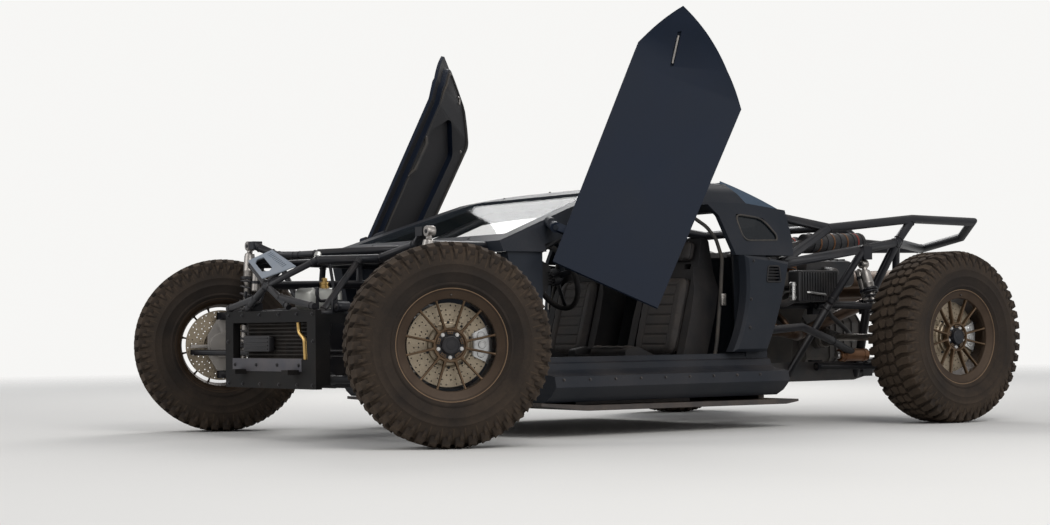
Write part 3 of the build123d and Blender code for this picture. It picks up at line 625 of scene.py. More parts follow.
BODY_PAINT = Finish("dark navy body", (0.008, 0.012, 0.019), 0.55, 0.0, 0.12, 0.4, 3.0, 0.12, 700,
                    specular=0.2)
DOOR_PAINT = Finish("dark navy door", (0.004, 0.0085, 0.019), 0.55, 0.0, 0.03, 0.5, 2.2, 0.10, 700,
                    specular=0.16)
FAIRING_PAINT = Finish("slate blue fairing", (0.036, 0.066, 0.105), 0.42, 0.2, 0.12, 0.2, 4.0, 0.1, 700,
                       coat=0.1)
TUBE_BLACK = Finish("satin black tube", (0.0075, 0.0085, 0.012), 0.42, 0.0, 0.12, 0.3, 8.0, 0.2, 500,
                    specular=0.3)
BUMPER_BLACK = Finish("matt bumper black", (0.0045, 0.0045, 0.0052), 0.6, 0.0, 0.07, 0.4, 8.0, 0.2, 500,
                      specular=0.15)
PLATE_GREY = Finish("grey blue plate", (0.25, 0.29, 0.34), 0.50, 0.4, 0.35, 0.2, 9.0, 0.15, 500)
SLATE = Finish("slate lip", (0.050, 0.050, 0.062), 0.5, 0.2, 0.3, 0.2, 9.0, 0.15, 500)
SKID_DARK = Finish("scuffed belly plate", (0.045, 0.042, 0.045), 0.5, 0.5, 0.5, 0.4, 7.0, 0.3, 250)
CAST_METAL = Finish("dark cast metal", (0.085, 0.082, 0.08), 0.55, 0.6, 0.4, 0.3, 12.0, 0.6, 320, 0.0008)
MACHINED = Finish("machined metal", (0.32, 0.30, 0.28), 0.36, 0.9, 0.35, 0.2, 12.0, 0.15, 500)
BRIGHT_METAL = Finish("bright metal", (0.68, 0.67, 0.65), 0.28, 1.0, 0.2, 0.15, 14.0, 0.1, 600)
BRONZE = Finish("satin bronze", (0.085, 0.050, 0.025), 0.40, 0.6, 0.2, 0.25, 10.0, 0.1, 600)
# A darker, duller copy of the spokes' bronze: painted shade on the barrel behind the spokes
BRONZE_PAINTED_SHADE = Finish("deep bronze barrel", (0.040, 0.024, 0.014), 0.50, 0.4, 0.15, 0.3, 10.0, 0.1, 600,
                     specular=0.3)
BRONZE_LIP = Finish("bright bronze lip", (0.25, 0.165, 0.10), 0.32, 0.8, 0.2, 0.2, 10.0, 0.1, 600)
DISC_METAL = Finish("swept disc", (0.36, 0.30, 0.22), 0.42, 0.85, 0.35, 0.15, 20.0, 0.2, 800)
CALIPER_SILVER = Finish("silver caliper", (0.60, 0.60, 0.59), 0.34, 0.75, 0.25, 0.1, 18.0, 0.15, 600)
# Its pale brown dust colour also paints a highlight on the tops of the tread blocks and on the wall bars
RUBBER = Finish("tyre rubber", (0.013, 0.0105, 0.0095), 0.80, 0.0, 0.36, 0.4, 7.0, 0.5, 260, 0.0006,
                specular=0.2, dust_and_highlight_colour=(0.155, 0.108, 0.070))
BOOT_RUBBER = Finish("boot rubber", (0.02, 0.02, 0.02), 0.7, 0.0, 0.5, 0.3, 12.0, 0.3, 300)
CABIN_BLACK = Finish("cabin black", (0.014, 0.014, 0.016), 0.62, 0.0, 0.16, 0.2, 8.0, 0.5, 900, 0.0005,
                     specular=0.3)
SEAT_TRIM = Finish("seat trim", (0.035, 0.031, 0.030), 0.68, 0.0, 0.25, 0.25, 9.0, 0.8, 1200, 0.0006)
HEAT_STEEL = Finish("heat tinted steel", (0.060, 0.034, 0.020), 0.42, 0.8, 0.25, 0.6, 9.0, 0.2, 400)
INTAKE_BLACK = Finish("intake black", (0.022, 0.023, 0.026), 0.5, 0.1, 0.3, 0.3, 9.0, 0.3, 500)
COPPER = Finish("copper", (0.20, 0.098, 0.050), 0.38, 0.9, 0.3, 0.3, 14.0, 0.2, 500)
RED_PAINT = Finish("dull red", (0.25, 0.03, 0.02), 0.45, 0.1, 0.3, 0.2, 10.0, 0.2, 500)
COOLER_METAL = Finish("cooler fins", (0.016, 0.014, 0.013), 0.6, 0.3, 0.2, 0.3, 14.0, 0.4, 300)
GLASS_CLEAR = Finish("clear glass", (0.03, 0.04, 0.04), 0.05, 0.0, 0.0, 0.0, 3.0, 0.0, 300, alpha=0.14)
SPRING_DARK = Finish("dark spring steel", (0.035, 0.035, 0.04), 0.38, 0.5, 0.25, 0.2, 12.0, 0.1, 500)
BEAD_STEEL = Finish("blued weld and bolt steel", (0.030, 0.030, 0.034), 0.38, 0.7, 0.2, 0.3, 30.0, 0.2, 600)
GRIP_BLACK = Finish("grip suede", (0.012, 0.012, 0.013), 0.85, 0.0, 0.15, 0.2, 14.0, 0.7, 1600, 0.0004,
                    specular=0.3)
BRASS = Finish("brass fitting", (0.55, 0.36, 0.13), 0.30, 1.0, 0.2, 0.2, 14.0, 0.1, 600)
TANK_METAL = Finish("brushed tank", (0.42, 0.42, 0.39), 0.42, 0.8, 0.25, 0.15, 10.0, 0.2, 500)
GLASS_DARK = Finish("smoked glass", (0.005, 0.007, 0.009), 0.10, 0.0, 0.0, 0.0, 3.0, 0.0, 300, alpha=0.93,
                    specular=0.25)


# Where things are


@dataclass
class Layout:
    """Driving sizes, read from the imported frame."""

    joints: dict[str, dict] = field(default_factory=dict)
    rear_x: float = 0.0

    @classmethod
    def read(cls, frame: dict) -> Layout:
        """Take the joints and the rear axle's place from the frame."""
        joints = {joint["name"]: joint for joint in frame["joints"]}
        return cls(joints, joints["roll_rear_left"]["pos_m"][0])

    def at(self, x: float, y: float, z: float) -> Array:
        """A place given from the rear axle."""
        return np.array([x + self.rear_x, y, z])

    def run(self, places: Sequence[Point], side: int = 1) -> Array:
        """Places given from the rear axle and on the left, set on either side."""
        return np.asarray(places, float) * (1, side, 1) + self.at(0, 0, 0)

    def wheel(self, corner: Corner) -> Matrix:
        """A wheel's place: Y points outboard along its axle and Z up."""
        joint = self.joints[f"roll_{corner.value}"]
        return basis(joint["pos_m"], corner.side * np.array(joint["axis"], float))


# Wheels


@dataclass
class Tyre:
    """An all-terrain tyre: a carcass with four staggered rows of slanted blocks."""

    radius: float = 0.440
    width: float = 0.300
    bead_radius: float = 0.2285
    groove: float = 0.017
    pitches: int = 46
    segments: int = 184
    flat: float = 0.094
    shoulder: float = 0.050
    drop: float = 0.046
    root: float = -0.012

    # Outlines of a block on the tread, at the shoulder and on the wall: along the tread and across it
    CENTRE = ((-0.004, 0.004), (0.030, 0.004), (0.037, 0.020), (0.029, 0.047), (0.006, 0.047),
              (-0.013, 0.030))
    EDGE = ((0.010, 0.055), (0.045, 0.055), (0.027, 0.096), (0.024, 0.1340), (-0.012, 0.1340),
            (-0.010, 0.096))
    WALL = ((0.004, 0.118), (0.032, 0.118), (0.026, 0.1445), (0.010, 0.1445))

    def carcass(self) -> Shape:
        """The casing under the blocks, a turned outline with a rim guard and two fine ribs on each wall."""
        half, base = self.width / 2 - 0.003, self.radius - self.groove
        wall = [
            (self.bead_radius, 0.108), (0.2325, 0.116), (0.2400, 0.1180), (0.2440, 0.1235), (0.2520, 0.1285),
            (0.2560, 0.1335), (0.2620, 0.1340), (0.2660, 0.1315), (0.2850, 0.1390), (0.3050, half - 0.001),
            (0.3070, half + 0.0010), (0.3100, half + 0.0010), (0.3120, half), (0.3380, half),
            (0.3400, half + 0.0012), (0.3430, half + 0.0012), (0.3450, half - 0.0005), (0.3650, half - 0.004),
            (0.3850, half - 0.011), (0.4010, half - 0.022), (0.4120, half - 0.036),
            (base - 0.003, half - 0.052), (base, half - 0.075),
        ]
        wall = np.array(wall)
        crown = np.column_stack([np.full(5, base), np.linspace(0.05, -0.05, 5)])
        other = wall[::-1] * (1, -1)
        inner = np.column_stack([np.full(3, self.bead_radius), np.linspace(-0.07, 0.07, 3)])
        return lathe(np.concatenate([wall, crown, other, inner]), self.segments)

    def surface(self, along: Array, over: Array, height: Array, turn: float) -> Array:
        """Blocks in the tread's own measures wrapped round the tyre.

        The tread's radius is level over its flat, then falls by a quarter circle to the wall.
        A point at (along, over, height) goes to the angle along / radius, at that radius
        plus the height, and at over.

        Args:
            along: distance round the tread.
            over: distance across it.
            height: above the groove's floor.
            turn: angle of the first block.

        Returns:
            Points in the wheel's own frame.
        """
        beyond = np.maximum(np.abs(over) - self.flat, 0.0) / self.shoulder
        fall = self.drop * (1 - np.sqrt(np.maximum(1 - np.minimum(beyond, 1.0) ** 2, 0.0)))
        r = self.radius - self.groove - fall + height
        r, angle, over = np.broadcast_arrays(r, turn + along / self.radius, over)
        return np.stack([r * np.sin(angle), over, r * np.cos(angle)], -1)

    def block(self, corners: Sequence[Point], top: float, draft: float) -> tuple[Array, list[Array], Array]:
        """One tread block: its outline at the root, a narrower edge below the top, and the top."""
        outline = rounded(corners, 0.004, 1)
        count = len(outline)
        # How far each ring is drawn in, its height, and its mark of dust and painted highlight, heavier
        # towards the top
        rings = ((-draft, self.root, 0.10), (draft * 0.2, top - 0.003, 0.30), (draft, top, 0.62))
        points = [np.column_stack([inset(outline, by), np.full(count, height)]) for by, height, _ in rings]
        return np.concatenate(points), capped(3, count), np.repeat([wear for *_, wear in rings], count)

    def build(self, place: Matrix, corner: Corner) -> None:
        """Make the tyre at its wheel's place."""
        piece = Piece(f"tyre_{corner.value}_dressed")
        points, faces = self.carcass()
        r = np.hypot(points[:, 0], points[:, 2])
        wear = np.clip((r - 0.30) / 0.12, 0, 1) * 0.45 + 0.1
        piece.add(put(points, place), faces, wear)
        pitch = TURN * self.radius / self.pitches
        turns = np.arange(self.pitches) * TURN / self.pitches
        # Outline, its height and draft, and the stagger of its left and right rows in pitches
        rows = ((self.CENTRE, self.groove, 0.0022, (0.0, 0.52)),
                (self.EDGE, self.groove, 0.0022, (0.35, 0.85)), (self.WALL, 0.006, 0.001, (0.35, 0.85)))
        for corners, top, draft, staggers in rows:
            for side, stagger in zip(SIDES, staggers):
                points, faces, wear = self.block(np.array(corners) * side, top, draft)
                along, over, height = points.T
                wrapped = self.surface(along[None] + stagger * pitch, over[None], height[None],
                                       turns[:, None])
                piece.copies(put(wrapped, place), faces, wear)
        self.ridges(piece, place)
        piece.build(RUBBER, corner.wheel, "tyre", [f"tyre_{corner.value}"], 40)

    def ridges(self, piece: Piece, place: Matrix) -> None:
        """Short raised bars that run down each wall from the shoulder, long and short in turn."""
        count = self.pitches * 2
        angle = (np.arange(count) * TURN / count)[:, None]
        for side in SIDES:
            for inner, parity in ((0.352, 0), (0.372, 1)):
                chosen = angle[parity::2]
                t = np.linspace(0, 1, 4)
                r = inner + (0.404 - inner) * t
                wall = np.interp(r, [0.345, 0.365, 0.385, 0.401, 0.412], [0.1465, 0.143, 0.136, 0.125, 0.111])
                half, sunk = 0.0035, -0.004
                rise = 0.0022 * np.sin(math.pi * np.clip(t * 0.8 + 0.1, 0, 1))
                section = np.array([-half, -half * 0.6, half * 0.6, half])
                y = wall[:, None] + np.where([False, True, True, False], rise[:, None], sunk)
                a = chosen[:, :, None] + section / r[None, :, None]
                rr = np.broadcast_to(r[None, :, None], a.shape)
                yy = np.broadcast_to(y[None], a.shape) * side
                points = np.stack([rr * np.sin(a), yy, rr * np.cos(a)], -1).reshape(len(chosen), -1, 3)
                # The bars carry a strong mark: dust, and partly a painted highlight on their raised faces
                piece.copies(put(points, place), capped(4, 4), 0.75)


@dataclass
class Rim:
    """A bronze wheel with twelve fine spokes in six pairs."""

    width: float = 0.240
    ring_radius: float = 0.197
    hub_radius: float = 0.072
    nut_circle: float = 0.0530
    face: float = 0.086
    pairs: int = 6
    spread: float = math.radians(24)
    spoke_width: float = 0.0115
    spoke_depth: float = 0.026

    def barrel(self) -> Shape:
        """The turned barrel: rolled lips, bead seats, drop centre and the dished outer ring."""
        half = self.width / 2
        outline = [
            (0.2430, half - 0.0010), (0.2450, half - 0.0030), (0.2450, half - 0.0060),
            (0.2400, half - 0.0085), (0.2290, half - 0.0105), (0.2280, half - 0.0500),
            (0.2150, half - 0.0640), (0.2150, -half + 0.0520), (0.2280, -half + 0.0340),
            (0.2290, -half + 0.0105), (0.2400, -half + 0.0085), (0.2450, -half + 0.0060),
            (0.2450, -half + 0.0010), (0.2400, -half), (0.2320, -half + 0.0060), (0.2200, -half + 0.0200),
            (0.2080, -half + 0.0460), (0.2080, half - 0.0640), (0.2000, half - 0.0480),
            (0.1965, half - 0.0400), (0.1965, half - 0.0190), (0.1990, half - 0.0160),
            (0.2080, half - 0.0130), (0.2180, half - 0.0100), (0.2290, half - 0.0060),
            (0.2345, half - 0.0035), (0.2370, half - 0.0010), (0.2400, half),
        ]
        return lathe(outline, 160)

    def spoke(self, angle: float) -> Shape:
        """One spoke: a rounded section carried out from the hub, flared where it meets hub and ring."""
        t = np.linspace(0, 1, 22)[:, None]
        r = (self.hub_radius - 0.006) + (self.ring_radius + 0.006 - self.hub_radius + 0.006) * t
        root, tip = np.exp(-(t / 0.07) ** 2), np.exp(-((1 - t) / 0.06) ** 2)
        half = self.spoke_width / 2 * (1 - 0.22 * t) + 0.006 * root + 0.005 * tip
        front = self.face + 0.014 * t**1.5 - 0.002 * np.sin(math.pi * t)
        back = front - self.spoke_depth * (0.85 + 0.15 * np.cos(math.pi * t))
        wide, deep = squared(ring(20), 0.55).T
        x = half * wide
        y = (front + back) / 2 + (front - back) / 2 * deep
        z = np.broadcast_to(r, x.shape)
        return swung((np.stack([x, z, y], -1).reshape(-1, 3), capped(22, 20)), angle)

    def hub(self) -> Shape:
        """The hub: a raised ring round a sunk seat for the nuts."""
        f = self.face
        outline = [
            (0.0400, f - 0.034), (0.0700, f - 0.034), (0.0740, f - 0.030), (0.0745, f - 0.004),
            (0.0725, f - 0.0005), (0.0690, f), (0.0655, f - 0.001), (0.0640, f - 0.0045),
            (0.0635, f - 0.0110), (0.0400, f - 0.0120),
        ]
        return lathe(outline, 120)

    def build(self, place: Matrix, corner: Corner) -> None:
        """Make the wheel, its cap and its nuts at the wheel's place."""
        f, edge, fifth = self.face, self.width / 2, TURN / 5
        names = (f"rim_barrel_{corner.value}", f"rim_{corner.value}_dressed", f"wheel_nuts_{corner.value}",
                 f"rim_lip_{corner.value}", f"wheel_cap_{corner.value}", f"valve_{corner.value}")
        barrel, piece, nuts, lip, cap, valve = (Piece(name) for name in names)
        barrel.add_at(self.barrel(), place)
        piece.add_at(self.hub(), place)
        for pair in range(self.pairs):
            for side in (-0.5, 0.5):
                piece.add_at(self.spoke((pair + 0.5) * TURN / self.pairs + side * self.spread), place)
        pad = rounded([(-0.0115, 0.0455), (0.0115, 0.0455), (0.0135, 0.0600), (-0.0135, 0.0600)], 0.002, 2)
        cap.add_at(knob([
            (0.0395, f - 0.020), (0.0395, f + 0.006), (0.0375, f + 0.0095), (0.0340, f + 0.0105),
            (0.0325, f + 0.0085), (0.0200, f + 0.0080), (0.0190, f + 0.0092), (0.0165, f + 0.0095),
            (TIP, f + 0.0095),
        ], 48), place)
        pit, pit_faces = knob([(TIP, -0.002), (0.0036, -0.002), (0.0036, 0.0004), (TIP, 0.0004)], 12)
        for k in range(5):
            piece.add_at(swung(plate(pad, f - 0.013, f - 0.0035, 0.001), k * fifth), place)
            for shift in (-0.105, 0.105):
                cap.add_at((pit + about(self.nut_circle, k * fifth + shift, f - 0.0035), pit_faces), place)
            for points, faces in bolt_head(0.0062):
                nuts.add_at((points + about(self.nut_circle, (k + 0.5) * fifth, f - 0.0120), faces), place)
        well = [(0.0395, f - 0.0125), (0.0632, f - 0.0125), (0.0632, f - 0.0112), (0.0395, f - 0.0112)]
        cap.add_at(lathe(well, 96), place)
        lip.add_at(lathe([
            (0.2375, edge - 0.003), (0.2395, edge + 0.0008), (0.2425, edge + 0.0008), (0.2447, edge - 0.0015),
            (0.2447, edge - 0.0055), (0.2380, edge - 0.0060),
        ], 160), place)
        valve.add_at(pipe([[0.0, f + 0.006, 0.207], [0.0, f + 0.030, 0.214]], 0.0035, 10), place)
        # The barrel's darker bronze is painted shade behind the spokes
        barrel.build(BRONZE_PAINTED_SHADE, corner.wheel, "rim_bronze", (), 30)
        piece.build(BRONZE, corner.wheel, "rim_bronze", [f"rim_{corner.value}"], 30)
        nuts.build(BRIGHT_METAL, corner.wheel, "rim_bronze", (), 30)
        lip.build(BRONZE_LIP, corner.wheel, "rim_bronze", (), 30)
        cap.build(TUBE_BLACK, corner.wheel, "rim_bronze", (), 30)
        valve.build(BOOT_RUBBER, corner.wheel, "rim_bronze")


@dataclass
class Disc:
    """A drilled brake disc with its hat."""

    radius: float = 0.180
    inner: float = 0.098
    thickness: float = 0.028
    sectors: int = 48
    hole: float = 0.0034
    rows: int = 4

    def face(self, y: float) -> tuple[Array, Array]:
        """One drilled face: polar cells, with an eight-sided hole in two of three cells of each row.

        Returns:
            Points and quads. The hole's own points are the last eight of each cell.
        """
        k, j = np.meshgrid(np.arange(self.sectors), np.arange(self.rows), indexing="ij")
        step = TURN / self.sectors
        deep = (self.radius - self.inner) / self.rows
        corner = np.array([[-1, -1], [0, -1], [1, -1], [1, 0], [1, 1], [0, 1], [-1, 1], [-1, 0]], float)
        r0 = self.inner + (j + 0.5) * deep
        a0 = (k + 0.5) * step
        edge_r = r0[..., None] + corner[None, None, :, 1] * deep / 2
        edge_a = a0[..., None] + corner[None, None, :, 0] * step / 2
        drilled = ((k + 2 * j) % 3 != 0)[..., None]
        size = np.where(drilled, self.hole, 0.0001)
        around = np.arctan2(corner[:, 1], corner[:, 0])
        hole_r = r0[..., None] + size * np.sin(around)
        hole_a = a0[..., None] + size * np.cos(around) / r0[..., None]
        r = np.concatenate([edge_r, hole_r], -1)
        a = np.concatenate([edge_a, hole_a], -1)
        points = np.stack([r * np.sin(a), np.full_like(r, y), r * np.cos(a)], -1).reshape(-1, 16, 3)
        m = np.arange(8)
        quads = np.stack([m, (m + 1) % 8, (m + 1) % 8 + 8, m + 8], 1)
        return points, quads

    def build(self, place: Matrix, corner: Corner) -> None:
        """Make the disc behind the wheel's spokes."""
        low = 0.002
        back, quads = self.face(low)
        front, _ = self.face(low + self.thickness)
        cells = np.concatenate([back, front], 1)
        m = np.arange(8)
        n = (m + 1) % 8
        walls = np.stack([m + 8, n + 8, n + 24, m + 24], 1)
        faces = np.concatenate([quads[:, ::-1], quads + 16, walls])
        edge_in = np.array([[0, 1, 17, 16], [1, 2, 18, 17]])
        edge_out = np.array([[4, 5, 21, 20], [5, 6, 22, 21]])
        piece = Piece(f"brake_disc_{corner.value}_dressed")
        cells = cells.reshape(self.sectors, self.rows, 32, 3)
        for row in range(self.rows):
            block = [faces]
            if row == 0:
                block.append(edge_in)
            if row == self.rows - 1:
                block.append(edge_out)
            piece.copies(put(cells[:, row], place), block)
        hat = [(0.0970, 0.026), (0.0995, 0.026), (0.0995, 0.031), (0.0930, 0.0345), (0.0900, 0.048),
               (0.0850, 0.0515), (0.0420, 0.0515), (0.0420, 0.0440), (0.0800, 0.0440), (0.0830, 0.0300),
               (0.0860, 0.0040), (0.0970, 0.0040)]
        points, hat_faces = lathe(hat, 96)
        piece.add(put(points, place), hat_faces)
        piece.build(DISC_METAL, corner.wheel, "disc_steel", [f"brake_disc_{corner.value}"], 30)
        bolts = Piece(f"disc_bolts_{corner.value}")
        points, bolt_faces = knob([(0.0060, 0.0), (0.0060, 0.0055), (0.0050, 0.0065), (TIP, 0.0065)], 12)
        for k in range(10):
            bolts.add_at((points + about(0.0965, k * TURN / 10, 0.0305), bolt_faces), place)
        bolts.build(TUBE_BLACK, corner.wheel, "disc_steel")


@dataclass
class Caliper:
    """A silver caliper on the rear side of its disc, bridged by fins."""

    inner: float = 0.104
    outer: float = 0.193
    half_angle: float = math.radians(25)

    def build(self, place: Matrix, corner: Corner, body: str, node: str) -> None:
        """Make the caliper at the wheel's place: a U-shaped section carried round the disc's edge."""
        middle = -corner.side * math.pi / 2
        section = rounded([
            (self.inner, -0.034), (self.inner + 0.010, -0.046), (self.outer - 0.016, -0.046),
            (self.outer - 0.002, -0.030), (self.outer, 0.028), (self.outer - 0.016, 0.0455),
            (self.inner + 0.012, 0.0455), (self.inner, 0.040), (self.inner, 0.0345),
            (self.outer - 0.0095, 0.0345), (self.outer - 0.0095, -0.0025), (self.inner, -0.0025),
        ], 0.004, 2)
        t = np.linspace(-1, 1, 25)
        pull = 1 - 0.10 * np.abs(t) ** 6
        a = middle + t * self.half_angle
        centre_r = self.outer - 0.004
        r = centre_r + (section[None, :, 0] - centre_r) * pull[:, None]
        y = np.broadcast_to(section[None, :, 1], r.shape)
        points = np.stack([r * np.sin(a)[:, None], y, r * np.cos(a)[:, None]], -1)
        piece = Piece(f"caliper_{corner.value}_dressed")
        piece.add_at((points.reshape(-1, 3), capped(len(t), len(section))), place)
        cup, cup_faces = knob([(0.0175, 0.040), (0.0175, 0.0475), (0.0150, 0.0500), (0.0110, 0.0500),
                               (0.0100, 0.0485), (TIP, 0.0485)], 28)
        for k in (-0.62, 0.0, 0.62):
            piece.add_at((cup + about(0.144, middle + k * self.half_angle), cup_faces), place)
        piece.build(CALIPER_SILVER, body, "caliper_silver", [node], 30)
        fins = Piece(f"caliper_bridge_{corner.value}")
        for k in (-0.8, -0.31, 0.31, 0.8):
            path = [about(0.1945, middle + k * self.half_angle, y) for y in (-0.040, 0.040)]
            fins.add_at(pipe(path, 0.0045, 12), place)
        fins.build(TUBE_BLACK, body, "caliper_silver")


# Pieces taken over from the frame


@dataclass(frozen=True)
class Carried:
    """A node of the frame that keeps its shape, with its edges rounded."""

    node: str
    finish: Finish
    slot: str
    edge: float = 0.003
    sharp: float = 32
    lining: Finish | None = None
    lined_from: float = 0.5

    def build(self, body: str, inwards: Point = (0, 0, 1)) -> bpy.types.Object:
        """Merge a copy of the node, round its edges and let it stand for the node.

        Args:
            body: the body that it rides on.
            inwards: faces turned this way have the lining's finish, where there is one.

        Returns:
            The dressed piece.
        """
        mesh = bpy.data.objects[self.node].data.copy()
        mesh.name = f"{self.node}_dressed"
        cut = bmesh.new()
        cut.from_mesh(mesh)
        bmesh.ops.remove_doubles(cut, verts=cut.verts, dist=0.00002)
        bmesh.ops.dissolve_limit(cut, angle_limit=math.radians(0.8), verts=cut.verts, edges=cut.edges)
        cut.to_mesh(mesh)
        cut.free()
        mesh.materials.clear()
        mesh.materials.append(self.finish.material())
        smooth(mesh, self.sharp)
        if self.lining:
            mesh.materials.append(self.lining.material())
            normals = np.empty(len(mesh.polygons) * 3, np.float32)
            mesh.polygons.foreach_get("normal", normals)
            lined = normals.reshape(-1, 3) @ unit(inwards) > self.lined_from
            mesh.polygons.foreach_set("material_index", lined.astype(np.int32))
        piece = stood(mesh.name, mesh)
        if self.edge:
            bevel = piece.modifiers.new("edges", "BEVEL")
            bevel.width = self.edge
            bevel.segments = 2
            bevel.limit_method = "ANGLE"
            bevel.angle_limit = math.radians(self.sharp)
            bevel.harden_normals = True
            bevel.material = -1
        return settle(piece, body, self.slot, [self.node])


# Small parts that several pieces share


def bolt_head(radius: float = 0.007, sides: int = 6) -> list[Shape]:
    """A hexagon head on a round washer, sunk a little at Y zero: two turned outlines."""
    sunk, thick, top = -0.002, 0.0020, 0.0020 + 0.72 * radius
    washer = [(1.45 * radius, sunk), (1.45 * radius, 0.6 * thick), (1.3 * radius, thick), (TIP, thick)]
    head = [(radius, sunk), (radius, thick + 0.55 * radius), (0.85 * radius, top), (TIP, top)]
    return [knob(washer, 16), knob(head, sides)]


def add_bolts(piece: Piece, places: Sequence[Point], out: Point, radius: float = 0.007) -> None:
    """Add one bolt head at each place, facing out."""
    for place in places:
        for shape in bolt_head(radius):
            piece.add_at(shape, facing(place, out))


def add_pipe(piece: Piece, corners: Sequence[Point], radius: float, bend: float = 0.04,
             sides: int = 14) -> None:
    """Add a round pipe with arcs at its corners."""
    piece.add(*pipe(bent(corners, bend), radius, sides))


def add_box(piece: Piece, centre: Point, size: Point, edge: float = 0.003, out: Point = (0, 1, 0),
            up: Point = (0, 0, 1)) -> None:
    """Add a box with rounded corners and edges: a rounded outline given thickness.

    Args:
        piece: what it is added to.
        centre: its middle.
        size: its width, its depth along out and its height along up.
        edge: radius of its rounding.
        out: where its depth points.
        up: where its height points.
    """
    w, d, h = (s / 2 for s in size)
    outline = rounded([(-w, -h), (w, -h), (w, h), (-w, h)], max(edge, 0.001) * 1.6, 3)
    points, faces = plate(outline, -d, d, edge)
    piece.add(put(points[:, [0, 2, 1]], basis(centre, out, up)), faces)


def add_bead(piece: Piece, centre: Point, along: Point, radius: float, size: float = 0.0028) -> None:
    """Add a rippled weld bead round a tube: a ring whose own radius swells and shrinks along it."""
    turns = np.arange(60) * TURN / 60
    path = np.stack([radius * np.cos(turns), np.zeros(60), radius * np.sin(turns)], 1)
    piece.add(*pipe(put(path, facing(centre, along)), size * (1 + 0.22 * np.sin(20 * turns)), 5, True))


# Running gear and cabin


@dataclass
class CoilOver:
    """A coil-over: eyes, shaft, ringed body, spring between seats, and a gas bottle on its flank."""

    foot: Array
    top: Array
    wire: float = 0.0056
    coil: float = 0.0345
    turns: float = 9.5
    low: float = 0.104
    high_share: float = 0.715

    def spring(self) -> Shape:
        """The coil: a helix whose pitch falls to nothing over its first and last turn."""
        length = float(np.linalg.norm(self.top - self.foot))
        t = np.linspace(0, self.turns, int(self.turns * 26) + 1)
        pitch = np.clip(np.minimum(t, self.turns - t) / 0.9, 0.08, 1)
        climb = np.concatenate([[0], np.cumsum((pitch[1:] + pitch[:-1]) / 2)])
        start, end = self.low + self.wire, length * self.high_share - self.wire
        y = start + (end - start) * climb / climb[-1]
        path = np.stack([self.coil * np.cos(TURN * t), y, self.coil * np.sin(TURN * t)], 1)
        return pipe(path, self.wire, 10)

    def build(self, metal: Piece, dark: Piece, spring: Piece) -> None:
        """Add its parts to three pieces by finish."""
        way = unit(self.top - self.foot)
        ahead = (1, 0, 0)
        length = float(np.linalg.norm(self.top - self.foot))
        place = basis(self.foot, way, ahead)
        spring.add_at(self.spring(), place)
        body = [(0.0270, length * 0.70), (0.0270, length * 0.78), (0.0284, length * 0.785),
                (0.0284, length * 0.80), (0.0270, length * 0.805), (0.0270, length - 0.055),
                (0.0235, length - 0.040), (0.0140, length - 0.034), (0.0140, length - 0.018),
                (TIP, length - 0.018)]
        metal.add_at(knob([(TIP, length * 0.70), *body], 40), place)
        inner = [(TIP, 0.030), (0.0105, 0.030), (0.0105, 0.120), (0.0200, 0.122), (0.0200, length * 0.68),
                 (0.0240, length * 0.69), (0.0240, length * 0.715), (TIP, length * 0.715)]
        metal.add_at(knob(inner, 32), place)
        for low, high in ((0.088, 0.104), (length * 0.715, length * 0.74)):
            cup = [(0.0180, low), (0.0380, low), (0.0400, low + 0.002), (0.0400, high - 0.002),
                   (0.0380, high), (0.0180, high)]
            dark.add_at(lathe(cup, 40), place)
        side = np.sign(self.foot[1])
        bottle = np.array(place.translation) + way * length * 0.60
        bottle += (-0.012, -0.062 * side, 0.010)
        can = [(TIP, 0), (0.0170, 0), (0.0205, 0.004), (0.0205, 0.160), (0.0170, 0.164), (0.0080, 0.166),
               (0.0080, 0.172), (TIP, 0.172)]
        metal.add_at(knob(can, 32), basis(bottle, way, ahead))
        for share in (0.045, 0.120):
            clamp = [(0.0200, share - 0.007), (0.0228, share - 0.007), (0.0228, share + 0.007),
                     (0.0200, share + 0.007)]
            dark.add_at(lathe(clamp, 32), basis(bottle, way, ahead))
            at = bottle + way * share
            add_pipe(dark, [at, at + (self.foot + way * (length * 0.60 + share) - at) * 0.70], 0.008, 0.02, 8)
        for end in (self.foot, self.top):
            bush = [(0.0100, -0.020), (0.0225, -0.020), (0.0240, -0.0175), (0.0240, 0.0175), (0.0225, 0.020),
                    (0.0100, 0.020)]
            metal.add_at(lathe(bush, 36), basis(end, ahead))
            pin = [(TIP, -0.0225), (0.0080, -0.0225), (0.0095, -0.0210), (0.0095, 0.0210), (0.0080, 0.0225),
                   (TIP, 0.0225)]
            dark.add_at(knob(pin, 24), basis(end, ahead))


def coil_overs(layout: Layout, name: str, foot: Point, top: Point) -> None:
    """The left and right coil-overs of one axle."""
    metal, dark, spring = Piece(f"{name}_bodies"), Piece(f"{name}_seats"), Piece(f"{name}_springs")
    for side in SIDES:
        CoilOver(*layout.run((foot, top), side)).build(metal, dark, spring)
    metal.build(MACHINED, CHASSIS, "shock_metal", [name])
    dark.build(TUBE_BLACK, CHASSIS, "shock_metal")
    spring.build(SPRING_DARK, CHASSIS, "shock_metal", (), 60)


